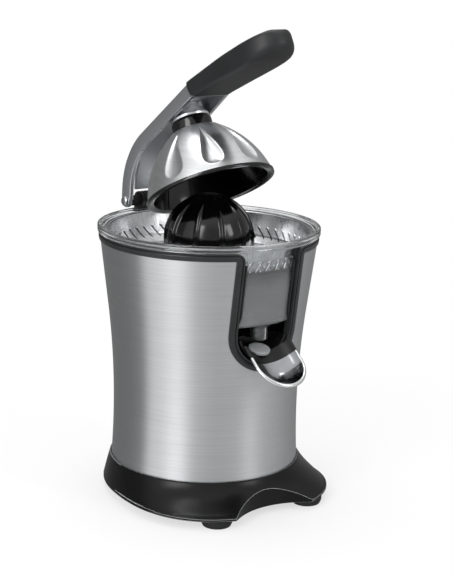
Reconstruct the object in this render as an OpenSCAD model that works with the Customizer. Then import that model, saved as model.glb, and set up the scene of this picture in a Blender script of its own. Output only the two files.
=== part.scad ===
// Lever citrus press: a steel body on a black base, a clear juice collector with a
// steel sieve, a motor-driven reamer, a tilting spout and a hinged press arm.
// Millimetres, +Z up, spout towards -Y, origin on the body's axis where it stands.

/* [Body] */
// Outer radius of the steel body at its waist
waist_r = 77.8; // [75:0.2:80]
// Height of the waist
waist_z = 74; // [60:1:90]
// Radius of the curve that the side follows
flare_r = 690; // [600:10:900]
// Height where the curved side turns straight
flare_end_z = 160; // [140:1:180]
// Height of the steel body's lower edge
shell_z0 = 27; // [25:0.5:29]
// Height of the steel body's upper edge
shell_z1 = 215; // [210:0.5:220]
// Thickness of the steel
steel_t = 1; // [0.8:0.1:1.4]
// Wall of the black inner body
inner_wall = 2; // [1.6:0.1:2.4]

/* [Window] */
// Clear width of the front window
window_w = 53; // [50:0.5:56]
// Height of the centre of the window's round end
window_z = 154; // [152:0.5:156]
// Width of the frame's face
frame_w = 7; // [5:0.5:9]
// How far the frame's face stands proud of the steel
frame_proud = 1.2; // [0.5:0.1:2]
// How far the frame reaches into the body
frame_depth = 6; // [4:0.5:7]

/* [Top band and bowl] */
// Height of the dark band above the steel
band_h = 6.4; // [5:0.2:8]
// How far the clear bowl's rim stands out past the line of the side
rim_out = 1.79; // [1.6:0.01:3]
// Height of the clear bowl's rim above the band
rim_h = 6.6; // [6:0.2:8]
// Fall of the rim's upper face towards the inside
rim_fall = 2.6; // [2:0.2:3]
// Wall of the clear bowl
bowl_wall = 2; // [1.6:0.1:2.4]
// Height of the bowl's underside
bowl_z0 = 158; // [157:0.5:160]
// Radius of the juice nozzle's outside
nozzle_r = 6.5; // [5.5:0.1:7]
// Distance of the nozzle's axis inside the bowl's wall
nozzle_in = 7.7; // [7.2:0.1:9]
// Length of the nozzle under the bowl
nozzle_l = 12; // [10:0.5:13]

/* [Sieve] */
// Draft of the sieve's wall: how far its floor stands in from the bowl's seat
sieve_in = 6.6; // [5.6:0.2:10]
// Height of the sieve's floor at that radius
sieve_floor_z = 204; // [202:0.5:206]
// Thickness of the sieve
sieve_t = 1; // [0.6:0.1:1.2]
// Number of slots in the sieve
slot_n = 24; // [12:1:30]

/* [Reamer and spindle] */
// Radius of the reamer
reamer_r = 37.5; // [35:0.5:38]
// Height of the reamer's tip
reamer_tip_z = 253; // [250:0.5:254]
// Height of the reamer's lower edge
reamer_z0 = 203; // [202:0.5:204]
// Number of ribs on the reamer
rib_n = 10; // [8:1:12]
// Radius of the drive spindle
spindle_r = 5; // [4.5:0.1:5.5]
// Travel of the spindle when the reamer is pressed
press_travel = 2.5; // [1.5:0.1:2.5]

/* [Arm] */
// Distance of the hinge inside the rim's edge
hinge_in = 1.1; // [0.5:0.1:1.6]
// Height of the hinge
hinge_z = 234; // [233.5:0.1:235]
// Angle of the arm above its closed place, at which it is drawn
arm_open = 30; // [20:1:40]
// Half width of the arm at the hinge
arm_w = 24; // [22:0.5:26]
// Depth of the arm at the hinge
arm_d0 = 14; // [12.5:0.5:17]
// Depth of the arm at the grip
arm_d1 = 12; // [10:0.5:13]
// Lean of the arm's root from upright when closed
arm_lean = 30; // [28:1:32]
// Length of the arm's straight root
arm_root = 9; // [7:0.5:12]
// Radius of the arm's bend
bend_r = 61; // [56:1:66]
// Angle of the arm's bend
bend_a = 52.5; // [50:0.5:55]
// Length of the arm's straight part
arm_l = 80; // [76:1:90]
// Radius of the hinge pin
hinge_pin_r = 2.5; // [2:0.1:3]

/* [Press dome] */
// Outer radius of the dome's rim
dome_r = 54.5; // [52:0.5:57]
// Height of the dome's rim when closed
dome_rim_z = 206.5; // [206:0.5:208]
// Radius of the dome's curved side
dome_side_r = 80; // [78:0.5:84]
// Height of the collar's foot above the rim
collar_h0 = 52.5; // [50:0.5:54]
// Height of the collar
collar_h = 8.5; // [7:0.5:9]
// Radius of the collar
collar_r = 17; // [15:0.5:18]

/* [Spout] */
// Distance of the spout's lip in front of the body's axis
spout_tip_y = 116; // [112:0.5:120]
// Height of the spout's lip
spout_tip_z = 118; // [116:0.5:120]
// Slope of the spout's rim
spout_slope = 39; // [36:0.5:42]
// Half width of the spout
spout_w = 22; // [20:0.5:23]
// Tilt that closes the spout
spout_drop = 15; // [13:0.5:16]
// Wall of the spout
spout_t = 2; // [1.5:0.1:2.5]

/* [Base] */
// Height of the rubber feet
foot_h = 6.5; // [6:0.5:8]
// Radius of the rubber feet
foot_r = 13; // [11:0.5:13.5]
// How far the base's foot stands out past the steel's lower edge
base_out = 6.6; // [5.6:0.2:8]
// Height of the base's upper edge
base_z1 = 30; // [29:0.5:32]
// Reach of the base's toes past its foot
toe_out = 18.5; // [16:0.5:20]
// Depth of the hollow at the front, measured from the toes' reach
bite_in = 16.5; // [14:0.5:18]
// Wall of the base
base_wall = 2.5; // [2:0.1:3]

/* [Motor and gears] */
// Radius of the motor's can
motor_r = 32; // [30:0.5:34]
// Length of the motor's can
motor_l = 56; // [50:1:58]
// Height of the gearbox's floor
gearbox_z = 100; // [98:0.5:101]
// Gear module of both stages
gear_m = 1; // [0.9:0.05:1.02]
// Teeth of the motor pinion
pinion_teeth = 12; // [11:1:14]
// Teeth of the first gear
first_teeth = 54; // [50:1:56]
// Teeth of the second pinion
second_pinion_teeth = 14; // [13:1:16]
// Width of the first stage's teeth
first_face = 6; // [5:0.5:7]
// Width of the output gear's teeth
output_face = 8.5; // [7:0.5:9]

/* [Hidden] */
$fn = 96;
gap = 0.3;
running = 0.05;
eps = 0.01;

// ---- the side of the body and the shells that follow it ----

side_slope = (flare_end_z - waist_z) / flare_r;
flare_end_r = waist_r + pow(flare_end_z - waist_z, 2) / (2 * flare_r);
function body_r(z) = z < flare_end_z
    ? waist_r + pow(z - waist_z, 2) / (2 * flare_r)
    : flare_end_r + (z - flare_end_z) * side_slope;
side_step = 12;
function heights(z0, z1) = concat(
    [z0],
    [for (i = [0:17]) let (z = shell_z0 + i * side_step) if (z > z0 + 0.5 && z < z1 - 0.5) z],
    [z1]);
function side_up(z0, z1, inset) = [for (z = heights(z0, z1)) [body_r(z) - inset, z]];
function reversed(list) = [for (i = [len(list) - 1:-1:0]) list[i]];

module side_ring(z0, z1, outset, inset)
    rotate_extrude() polygon(concat(side_up(z0, z1, -outset), reversed(side_up(z0, z1, inset))));

module tube(r_out, r_in, z0, z1) difference() {
    translate([0, 0, z0]) cylinder(r = r_out, h = z1 - z0);
    translate([0, 0, z0 - 1]) cylinder(r = r_in, h = z1 - z0 + 2);
}

module disc(r, z0, z1) translate([0, 0, z0]) cylinder(r = r, h = z1 - z0);

module along_x(r, x0, x1) translate([x0, 0, 0]) rotate([0, 90, 0]) cylinder(r = r, h = x1 - x0);

module around(n, first) for (i = [0:n - 1]) rotate([0, 0, 360 / n * i + first]) children();

module mirrored_x() {
    children();
    mirror([1, 0, 0]) children();
}

// ---- window ----

inner_inset = steel_t + gap;
bowl_inset = inner_inset + inner_wall + 0.4;
window_half = window_w / 2;
cut_half = window_half + frame_w / 2 + 0.5;
band_z1 = shell_z1 + band_h;
rim_r = body_r(band_z1) + rim_out;
hinge_y = rim_r - hinge_in;
corner_r = 8;
cutter_l = 20;
frame_z0 = window_z - window_half - frame_w;

module arch_outline(half, top) {
    translate([0, window_z]) circle(half);
    translate([-half, window_z]) square([2 * half, top - window_z]);
}

module arch(half, top, y_back) translate([0, -y_back, 0]) rotate([90, 0, 0])
    linear_extrude(rim_r + cutter_l - y_back) arch_outline(half, top);

module arch_corners(y_back) mirrored_x() translate([0, -y_back, 0]) rotate([90, 0, 0])
    linear_extrude(rim_r + cutter_l - y_back)
        translate([window_half - eps, band_z1 - corner_r]) difference() {
            square([corner_r, corner_r + 1]);
            translate([corner_r, 0]) circle(corner_r);
        }

module body_shell() color("silver") difference() {
    side_ring(shell_z0, shell_z1, 0, steel_t);
    arch(cut_half, shell_z1 + 1, waist_r / 2);
    bracket_holes();
}

band_r = body_r(shell_z1) + frame_proud + 0.5;

module trim_bezel() color("dimgray") difference() {
    union() {
        rotate_extrude() polygon(concat(
            [[band_r - 0.5, shell_z1], [band_r, shell_z1 + 1]],
            [[band_r, band_z1 - 1], [band_r - 0.5, band_z1]],
            reversed(side_up(shell_z1, band_z1, bowl_inset - 0.1))));
        intersection() {
            side_ring(frame_z0 - 2, shell_z1 + 2, frame_proud, frame_depth);
            arch(window_half + frame_w, shell_z1 + 1, waist_r / 2);
        }
    }
    difference() {
        side_ring(frame_z0 - 3, shell_z1, 0, frame_depth + 2);
        arch(cut_half - 0.2, shell_z1 + 1, waist_r / 2);
    }
    arch(window_half, band_z1 + 1, waist_r / 2);
    arch_corners(waist_r / 2);
    side_ring(bowl_z0 - gap, band_z1 + 1, 0.1 - bowl_inset, 20);
}

// ---- inner body: wall, deck, spout tunnel, chimney, columns ----

deck_t = 3;
deck_z0 = bowl_z0 - deck_t;
tunnel_back_y = 38;
tunnel_wall = 2;
chimney_r = 8.5;
chimney_bore = spindle_r + 1.5;
chimney_z1 = 190;
column_x = 50;
column_y = 45;
column_r = 5;
tie_r = 2;
tie_depth = 22;
gear_d = gear_m * (pinion_teeth + first_teeth) / 2;
output_teeth = pinion_teeth + first_teeth - second_pinion_teeth;
case_wall = 2.5;
first_tip_r = gear_m * (first_teeth / 2 + 1);
output_tip_r = gear_m * (output_teeth / 2 + 1);
ear_x = first_tip_r + 9;
ear_y = [0, gear_d + 3];
ear_r = 4.5;
case_screw_r = 1.5;
gear_z0 = gearbox_z + 5;
cover_z = gear_z0 + first_face + 2.5 + output_face + 4;
cover_t = 3;
boss_h = 9;

module at_corners(x, ys) for (y = ys) mirrored_x() translate([x, y, 0]) children();

module bowl_well() color("#1c1c1e") difference() {
    side_ring(bowl_z0, shell_z1 - 0.4, -inner_inset, inner_inset + inner_wall);
    arch(cut_half + 0.2, shell_z1 + 1, waist_r / 2);
    bracket_holes();
}

module inner_body() color("#1c1c1e") difference() {
    union() {
        disc(body_r(deck_z0) - inner_inset, deck_z0, bowl_z0);
        disc(chimney_r, deck_z0, chimney_z1);
        intersection() {
            arch(window_half + tunnel_wall, bowl_z0, tunnel_back_y - tunnel_wall);
            disc(body_r(window_z) - frame_depth, window_z - window_half - tunnel_wall - 1, bowl_z0);
        }
        at_corners(column_x, [-column_y, column_y]) disc(column_r, base_z1, deck_z0 + 1);
        at_corners(ear_x, ear_y) disc(ear_r, cover_z + cover_t, deck_z0 + 1);
    }
    difference() {
        arch(window_half, bowl_z0 + 1, tunnel_back_y);
        spout_lugs();
    }
    difference() {
        arch(cut_half + 0.2, shell_z1 + 1, waist_r / 2);
        disc(body_r(window_z - window_half) - frame_depth - gap, shell_z0, bowl_z0);
    }
    disc(chimney_bore, deck_z0 - 1, chimney_z1 - bush_l);
    disc(bush_out_r, chimney_z1 - bush_l - eps, chimney_z1 + 1);
    at_corners(column_x, [-column_y, column_y]) disc(tie_r, base_z1 - 1, base_z1 + tie_depth);
    at_corners(ear_x, ear_y) disc(case_screw_r, cover_z, cover_z + cover_t + 12);
    at_pivot() along_x(spout_pin_r, -lug_x1 - 2, lug_x1 + 2);
}

bush_l = 8;
bush_out_r = spindle_r + 1.8;

module spindle_bush() color("peru")
    tube(bush_out_r, spindle_r + running, chimney_z1 - bush_l, chimney_z1 - 1);

module shaft_seal() color("black") {
    tube(bush_out_r, spindle_r + 0.1, chimney_z1 - 1, chimney_z1 + 0.6);
    tube(spindle_r + 1, spindle_r + 0.1, chimney_z1 + 0.6 - eps, chimney_z1 + 2);
}

// ---- clear bowl and sieve ----

bowl_chimney_r = chimney_r + 1;
bowl_chimney_z1 = chimney_z1 + 6;
rim_z1 = band_z1 + rim_h;
rim_in = bowl_inset + bowl_wall;
ledge_z = rim_z1 - rim_fall - 2;
ledge_w = 2.4;
nozzle_z0 = bowl_z0 - nozzle_l;
nozzle_wall = 1.5;
nozzle_y = body_r(bowl_z0) - bowl_inset - nozzle_in;

seat_r = body_r(band_z1) - rim_in + 1.5;

module juice_bowl() color([0.75, 0.77, 0.8, 0.5]) difference() {
    union() {
        side_ring(bowl_z0, band_z1 + 0.2, -bowl_inset, rim_in);
        rotate_extrude() polygon([
            [seat_r - 1.5, band_z1 + 0.2 - eps], [rim_r - 1, band_z1 + 0.2], [rim_r, band_z1 + 1.2],
            [rim_r, rim_z1 - 0.8], [rim_r - 0.8, rim_z1],
            [seat_r + 0.4, rim_z1 - rim_fall], [seat_r, rim_z1 - rim_fall - 0.4],
            [seat_r, ledge_z], [seat_r - ledge_w, ledge_z], [seat_r - ledge_w, ledge_z - 0.8]]);
        disc(body_r(bowl_z0) - bowl_inset - 1, bowl_z0, bowl_z0 + bowl_wall);
        disc(bowl_chimney_r + bowl_wall, bowl_z0, bowl_chimney_z1);
        translate([0, -nozzle_y, 0]) disc(nozzle_r, nozzle_z0, bowl_z0 + 1);
    }
    disc(bowl_chimney_r, bowl_z0 - 1, bowl_chimney_z1 - 2);
    disc(spindle_r + 2.2, bowl_z0, bowl_chimney_z1 + 1);
    translate([0, -nozzle_y, 0]) disc(nozzle_r - nozzle_wall, nozzle_z0 - 1, bowl_z0 + bowl_wall + 1);
}

sieve_lip_r = seat_r - gap;
sieve_floor_r = seat_r - sieve_in;
sieve_wall_r = sieve_lip_r - ledge_w;
sieve_low_z = sieve_floor_z - 11.5;

function sieve_line(lift) = [
    [sieve_wall_r, ledge_z], [sieve_floor_r, sieve_floor_z + lift],
    [sieve_floor_r - 4, sieve_floor_z - 3.5 + lift],
    [60, sieve_floor_z - 9.5 + lift], [45, sieve_low_z + lift], [30, sieve_low_z + 1.5 + lift],
    [bowl_chimney_r + 6, bowl_chimney_z1 + lift], [spindle_r + 2.5, bowl_chimney_z1 + lift]];

module sieve() color("lightgray") difference() {
    union() {
        rotate_extrude() polygon(concat(
            sieve_line(0),
            [for (p = reversed(sieve_line(sieve_t)))
                [p[0] > sieve_floor_r - 1 ? p[0] - sieve_t : p[0], p[1]]]));
        rotate_extrude() polygon([
            [sieve_wall_r - sieve_t, ledge_z - eps], [sieve_wall_r, ledge_z - eps], [sieve_wall_r, ledge_z],
            [sieve_lip_r, ledge_z], [sieve_lip_r, ledge_z + 1.2], [sieve_lip_r - 1, ledge_z + 2],
            [sieve_wall_r - sieve_t, ledge_z + 2]]);
    }
    around(slot_n, 0) translate([57, 0, sieve_low_z]) rotate([0, 0, 50]) cube([20, 2, 30], center = true);
    around(slot_n, 180 / slot_n) {
        translate([43.5, 0, sieve_low_z - 5]) cylinder(r = 1, h = 12);
        translate([70, 0, sieve_low_z - 5]) cylinder(r = 1, h = 20);
    }
}

// ---- hinge bracket at the rear ----

arm_wall = 4;
bracket_w = 11;
bracket_y1 = rim_r + 5;
bracket_screw_x = 6;
bracket_screw_z = shell_z1 - 6;
bracket_screw_r = 1.5;
spacer_x1 = arm_w - arm_wall - gap;

module at_hinge() translate([0, hinge_y, hinge_z]) children();

module bracket_holes() for (x = [-bracket_screw_x, bracket_screw_x])
    translate([x, waist_r / 2, bracket_screw_z]) rotate([-90, 0, 0])
        cylinder(r = bracket_screw_r, h = waist_r);

module hinge_bracket() color("#202022") difference() {
    union() {
        at_hinge() along_x(5, -bracket_w, bracket_w);
        translate([-bracket_w, hinge_y - 5, rim_z1 + gap])
            cube([2 * bracket_w, bracket_y1 - hinge_y + 5, hinge_z - rim_z1 - gap]);
        translate([-bracket_w, waist_r, shell_z1 - 12])
            cube([2 * bracket_w, bracket_y1 - waist_r, hinge_z - shell_z1 + 12]);
    }
    side_ring(shell_z1 - 20, shell_z1, 0, 60);
    disc(band_r, shell_z1 - eps, band_z1 + eps);
    disc(rim_r + gap, band_z1, rim_z1 + gap);
    at_hinge() along_x(hinge_pin_r, -bracket_w - 1, bracket_w + 1);
    for (x = [-bracket_screw_x, bracket_screw_x])
        translate([x, waist_r, bracket_screw_z]) rotate([-90, 0, 0]) cylinder(r = bracket_screw_r, h = 60);
}

module hinge_pin() color("silver") at_hinge() {
    along_x(hinge_pin_r, -arm_w - gap, arm_w + gap);
    mirrored_x() along_x(hinge_pin_r + 1.3, arm_w + gap, arm_w + gap + 1.4);
}

module hinge_spacers() color("white") at_hinge() mirrored_x() difference() {
    along_x(hinge_pin_r + 2, bracket_w + 0.1, spacer_x1);
    along_x(hinge_pin_r, bracket_w - 1, spacer_x1 + 1);
}

module bracket_screws() color("silver") for (x = [-bracket_screw_x, bracket_screw_x])
    translate([x, 0, bracket_screw_z]) rotate([-90, 0, 0]) {
        disc(bracket_screw_r, body_r(bracket_screw_z) - inner_inset - inner_wall + 0.6, bracket_y1);
        disc(3, bracket_y1, bracket_y1 + 1.8);
    }

// ---- base ----

base_z0 = foot_h;
base_r = body_r(shell_z0) + base_out;
toe_reach = base_r + toe_out;
bite_y = toe_reach - bite_in;
bite_r = 64;
base_top_r = body_r(shell_z0) + 1.4;
flange_h = 2.5;
toe_h = 5;
screw_ring = [[62, 35], [62, -42], [22, 70]];
ledge_r = body_r(shell_z0) + 0.1;
// angle from the front, radius, how far its edge stays inside the reach
toes = [[25, 10.5, 0], [42, 13, 1], [64, 15, 9]];
// place on the shelf above the hollow: x, distance in front of the axis, radius, drop
shelf = [[0, bite_y - 11, 12, 1], [19, bite_y - 8, 11, 2.5], [29, bite_y - 3, 8, 6]];

module toe_discs(grow, z0, z1) for (t = toes, s = [-1, 1]) {
    d = toe_reach - t[2] - t[1];
    translate([s * d * sin(t[0]), -d * cos(t[0]), z0]) cylinder(r = t[1] + grow, h = z1 - z0, $fn = 32);
}

module base_form(inset, z0, z1) hull() {
    disc(base_r - inset, z0, z0 + flange_h);
    translate([0, 0, z1 - 1 - inset]) cylinder(r = base_top_r - inset, h = 1);
    toe_discs(-inset, z0, z0 + flange_h);
    toe_discs(-4 - inset, z0 + toe_h, z0 + toe_h + 3 - inset);
    for (p = shelf, s = [-1, 1]) translate([s * p[0], -p[1], z1 - p[3] - 1 - inset])
        cylinder(r = p[2] - inset, h = 1, $fn = 32);
}

module bite(extra) translate([0, -bite_y - bite_r, -1]) cylinder(r = bite_r + extra, h = base_z1 + 20);

module base_housing() color("#161617") difference() {
    union() {
        difference() {
            base_form(0, base_z0, base_z1);
            difference() {
                base_form(base_wall, base_z0 - 1, base_z1 - base_wall - 1);
                bite(base_wall);
            }
            translate([0, 0, base_z0 - 1]) cylinder(r = 40, h = base_z1);
            base_plate_form(0.2, base_z0 - 1, base_z0 + plate_t);
        }
        at_corners(column_x, [-column_y, column_y])
            disc(column_r + 1, base_z0 + plate_t + 4, base_z1 - base_wall);
        for (p = screw_ring) at_corners(p[0], [p[1]])
            disc(4, base_z0 + plate_t + 0.1, base_z1 - base_wall - 1);
    }
    bite(0);
    tube(ledge_r, ledge_r - steel_t - 0.3, shell_z0, base_z1 + 1);
    disc(ledge_r - steel_t - 0.2, base_z1 - eps, base_z1 + 1);
    at_corners(column_x, [-column_y, column_y]) {
        disc(tie_r + 0.2, base_z0, base_z1 + 1);
        disc(4.2, base_z0 - 1, base_z0 + plate_t + 6);
    }
    for (p = screw_ring) at_corners(p[0], [p[1]]) disc(base_screw_r, base_z0, base_z0 + plate_t + 10);
    at_gland() disc(gland_r + 1.5, -base_wall - 6, 12);
}

plate_t = 2.5;
base_screw_r = 1.5;

module base_plate_form(grow, z0, z1) difference() {
    hull() {
        disc(base_r - base_wall + grow, z0, z1);
        toe_discs(grow - base_wall, z0, z1);
    }
    bite(base_wall + 0.2 - grow);
}

front_foot_d = toe_reach - foot_r + 1;
foot_at = [[front_foot_d * sin(29), -front_foot_d * cos(29)], [46, 58]];
foot_peg_r = 2.8;
vent_y = 17;
vent_l = 22;

// Four feet round the edge and one under the spindle, which takes the press's load.
module foot_places() {
    for (p = foot_at) at_corners(p[0], [p[1]]) children();
    children();
}

module base_plate() color("#202022") difference() {
    base_plate_form(0, base_z0, base_z0 + plate_t);
    for (p = screw_ring) at_corners(p[0], [p[1]]) disc(base_screw_r, 0, base_z1);
    at_corners(column_x, [-column_y, column_y]) disc(4.2, 0, base_z1);
    foot_places() disc(foot_peg_r + 0.2, 0, base_z1);
    for (i = [-3:3], y = [-vent_y - vent_l, vent_y]) translate([i * 9 - 2, y, 0]) cube([4, vent_l, base_z1]);
}

module rubber_feet() color("black") foot_places() {
    disc(foot_r - 1.5, 0, 1.5);
    disc(foot_r, 1.5 - eps, foot_h);
    disc(foot_peg_r, foot_h - 1, foot_h + plate_t + 0.5);
}

module base_screws() color("silver") for (p = screw_ring) at_corners(p[0], [p[1]]) {
    disc(base_screw_r, base_z0 - 1, base_z0 + plate_t + 9);
    disc(3, base_z0 - 1.8, base_z0);
}

module tie_screws() color("silver") at_corners(column_x, [-column_y, column_y]) {
    disc(tie_r, base_z0 + plate_t + 5, base_z1 + tie_depth - 2);
    disc(3.8, base_z0 + plate_t + 2.8, base_z0 + plate_t + 6);
}

// ---- gland where a mains lead would enter ----

gland_r = 3.5;
gland_z = base_z0 + 10;
gland_y = base_r + (base_top_r - base_r) * (gland_z - base_z0 - flange_h) / (base_z1 - base_z0 - flange_h);

module at_gland() translate([0, gland_y, gland_z]) rotate([-90, 0, 0]) children();

module cord_gland() color("#101010") at_gland() difference() {
    union() {
        disc(gland_r + 1.4, -base_wall - 5, 3.5);
        disc(gland_r + 3, 1.8, 3.5);
        disc(gland_r + 3, -base_wall - 5, -base_wall - 3);
    }
    disc(gland_r, -base_wall - 6, 5);
}

// ---- gear train ----

pressure_a = 25;
backlash_a = 0.35;
function involute(a) = tan(a) * 180 / PI - a;
function flank(r, pitch_r, teeth) = let (base = pitch_r * cos(pressure_a))
    90 / teeth - backlash_a * 12 / teeth + involute(pressure_a) - (r > base ? involute(acos(base / r)) : 0);
function gear_points(teeth, m) = let (pitch_r = m * teeth / 2, root = pitch_r - 1.2 * m, tip = pitch_r + m,
        base = pitch_r * cos(pressure_a), low = max(base, root + 0.05),
        radii = [root, low, low + (tip - low) * 0.35, low + (tip - low) * 0.7, tip])
    [for (i = [0:teeth - 1]) each concat(
        [for (r = radii) let (a = 360 * i / teeth - flank(r, pitch_r, teeth)) r * [cos(a), sin(a)]],
        [for (r = reversed(radii)) let (a = 360 * i / teeth + flank(r, pitch_r, teeth))
            r * [cos(a), sin(a)]])];

module gear(teeth, z0, z1, turn) translate([0, 0, z0]) rotate([0, 0, turn])
    linear_extrude(z1 - z0) polygon(gear_points(teeth, gear_m));

first_z1 = gear_z0 + first_face;
output_z0 = first_z1 + 2.5;
output_z1 = output_z0 + output_face;
hub_r = 9;
hub_z1 = cover_z + boss_h + 4;
axle_r = 2.5;
shaft_r = 3;

module at_cluster() translate([0, gear_d, 0]) children();

module motor_pinion() color("goldenrod") difference() {
    gear(pinion_teeth, gearbox_z + 3.5, output_z0 - 0.8, 90);
    disc(shaft_r, gearbox_z, output_z0);
}

module cluster_gear() color("ivory") at_cluster() difference() {
    union() {
        gear(first_teeth, gear_z0, first_z1, -90 + 180 / first_teeth);
        gear(second_pinion_teeth, first_z1 - eps, output_z1 + 1.5, -90 + 180 / second_pinion_teeth);
        disc(gear_m * second_pinion_teeth / 2 - 2, gear_z0 - 1.5, output_z1 + 2);
    }
    disc(axle_r + running, gear_z0 - 2, output_z1 + 3);
    around(6, 30) translate([17, 0, gear_z0 - 1]) cylinder(r = 4.5, h = first_face + 2);
}

module output_gear() color("ivory") difference() {
    union() {
        gear(output_teeth, output_z0, output_z1, 90);
        disc(hub_r, output_z0, hub_z1);
    }
    translate([0, 0, output_z0 + 1.5]) cylinder(r = spindle_r + 0.2, h = hub_z1, $fn = 6);
    tube(hub_r + 1, hub_r - 1, cover_z + boss_h + 0.5, cover_z + boss_h + 1.8);
    around(6, 0) translate([16.5, 0, output_z0 - 1]) cylinder(r = 4.5, h = output_face + 2);
}

module hub_clip() color("silver") difference() {
    tube(hub_r + 2, hub_r - 1, cover_z + boss_h + 0.6, cover_z + boss_h + 1.7);
    translate([-2.5, 0, cover_z]) cube([5, hub_r + 4, boss_h + 4]);
}

module case_outline(grow, z0, z1) {
    disc(output_tip_r + 1.5 + grow, z0, z1);
    at_cluster() disc(first_tip_r + 1.5 + grow, z0, z1);
    translate([-output_tip_r - 1.5 - grow, 0, z0]) cube([2 * (output_tip_r + 1.5 + grow), gear_d, z1 - z0]);
}

module gearbox_case() color("gray") difference() {
    union() {
        case_outline(case_wall, gearbox_z, cover_z);
        at_corners(ear_x, ear_y) disc(ear_r, gearbox_z, cover_z);
        at_corners(ear_x - 5, ear_y) translate([-5, -ear_r, gearbox_z])
            cube([10, 2 * ear_r, cover_z - gearbox_z]);
    }
    case_outline(0, gearbox_z + 3, cover_z + 1);
    disc(shaft_r + 1.5, gearbox_z - 1, gearbox_z + 4);
    at_cluster() disc(axle_r, gearbox_z + 0.5, cover_z);
    at_corners(ear_x, ear_y) disc(case_screw_r + 0.2, gearbox_z - 1, cover_z + 1);
    around(2, 45) translate([bell_screw_d, 0, gearbox_z - 1]) cylinder(r = case_screw_r, h = 5);
}

module gearbox_cover() color("gray") difference() {
    union() {
        case_outline(case_wall, cover_z, cover_z + cover_t);
        disc(bush_seat_r + 2.5, cover_z, cover_z + boss_h);
        at_cluster() disc(5.5, cover_z, cover_z + cover_t + 2);
        at_corners(ear_x, ear_y) disc(ear_r, cover_z, cover_z + cover_t);
        at_corners(ear_x - 5, ear_y) translate([-5, -ear_r, cover_z]) cube([10, 2 * ear_r, cover_t]);
        at_switch() translate([switch_x - 4, -switch_w / 2 - 1, cover_z])
            cube([switch_l + 2, switch_w + 2, switch_z0 - cover_z]);
    }
    disc(bush_seat_r, cover_z - 1, cover_z + boss_h + 1);
    at_cluster() disc(axle_r, cover_z - 1, cover_z + cover_t + 0.5);
    at_corners(ear_x, ear_y) disc(case_screw_r + 0.2, cover_z - 1, cover_z + cover_t + 1);
}

bush_seat_r = hub_r + 2;

module output_bush() color("peru") tube(bush_seat_r, hub_r + running, cover_z, cover_z + boss_h);

module cluster_axle() color("silver") at_cluster() disc(axle_r, gearbox_z + 0.5, cover_z + cover_t + 0.5);

module gearbox_screws() color("silver") at_corners(ear_x, ear_y) {
    disc(case_screw_r, gearbox_z - 1, cover_z + cover_t + 10);
    disc(3, gearbox_z - 2.2, gearbox_z);
}

// ---- motor ----

can_z1 = gearbox_z - 4;
can_z0 = can_z1 - motor_l;
can_t = 1.6;
magnet_t = 6;
armature_r = motor_r - can_t - magnet_t - 1;
core_z0 = can_z0 + 14;
core_z1 = can_z1 - 18;
brush_z = can_z1 - 6;
commutator_r = 8;
bell_screw_d = motor_r - 8;
shaft_z0 = base_z1 + 1.5;

module motor_can() color("silver") difference() {
    union() {
        disc(motor_r, can_z0, can_z1);
        disc(8, can_z0 - 2, can_z0);
    }
    disc(motor_r - can_t, can_z0 + 2, can_z1 + 1);
    disc(6, can_z0 - 3, can_z0 + 3);
    for (i = [0:5]) rotate([0, 0, 60 * i]) translate([20, 0, can_z0 - 3]) cylinder(r = 4, h = 6);
}

module motor_end_bell() color("#2a2a2c") difference() {
    union() {
        disc(motor_r, can_z1, gearbox_z);
        mirrored_x() translate([commutator_r + 2, -4, brush_z - 4])
            cube([motor_r - can_t - commutator_r - 4, 8, can_z1 - brush_z + 4]);
    }
    disc(6, can_z1 - 1, gearbox_z + 1);
    mirrored_x() translate([commutator_r + 1, -2.5, brush_z - 2.5]) cube([14, 5, 5]);
    around(2, 45) translate([bell_screw_d, 0, can_z1 - 1]) cylinder(r = case_screw_r, h = 6);
}

module motor_bushes() color("peru") {
    tube(6, shaft_r + running, can_z0 - 2, can_z0 + 2);
    tube(6, shaft_r + running, can_z1, gearbox_z);
}

module field_magnets() color("#3a3a3c") difference() {
    tube(motor_r - can_t, motor_r - can_t - magnet_t, core_z0 - 3, core_z1 + 3);
    translate([-6, -motor_r, core_z0 - 4]) cube([12, 2 * motor_r, core_z1 - core_z0 + 8]);
}

module carbon_brushes() color("#222222") mirrored_x()
    translate([commutator_r + gap, -2.4, brush_z - 2.4]) cube([12, 4.8, 4.8]);

module motor_shaft() color("silver") disc(shaft_r, shaft_z0, output_z0 - 1);

module armature_core() color("#5a5a5e") difference() {
    disc(armature_r, core_z0, core_z1);
    disc(shaft_r, core_z0 - 1, core_z1 + 1);
    around(12, 0) translate([armature_r - 7, -1.6, core_z0 - 1]) cube([10, 3.2, core_z1 - core_z0 + 2]);
}

module armature_winding() color("#b5651d") {
    tube(armature_r - 3, shaft_r, core_z0 - 7, core_z0);
    tube(armature_r - 3, shaft_r, core_z1, core_z1 + 7);
}

module commutator() color("#c08040") tube(commutator_r, shaft_r, core_z1 + 7, can_z1 - 1);

module cooling_fan() color("#303032") difference() {
    union() {
        disc(6, shaft_z0 + 1, can_z0 - 2.5);
        disc(24, shaft_z0 + 1, shaft_z0 + 2.5);
        around(9, 0) translate([5, -0.8, shaft_z0 + 1]) cube([18.5, 1.6, can_z0 - shaft_z0 - 4]);
    }
    disc(shaft_r, shaft_z0, can_z0);
}

// ---- spindle, switch and reamer ----

flange_r = 18;
flange_z0 = hub_z1 + 7;
switch_x = flange_r - 2;
switch_a = -45;
switch_l = 16;
switch_w = 6.4;
switch_h = 10;
switch_z0 = flange_z0 - gap - press_travel - 1.2 - switch_h;
drive_r = 6;
drive_z1 = reamer_z0 + 12;
hex_z0 = output_z0 + press_travel + 2;

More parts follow.
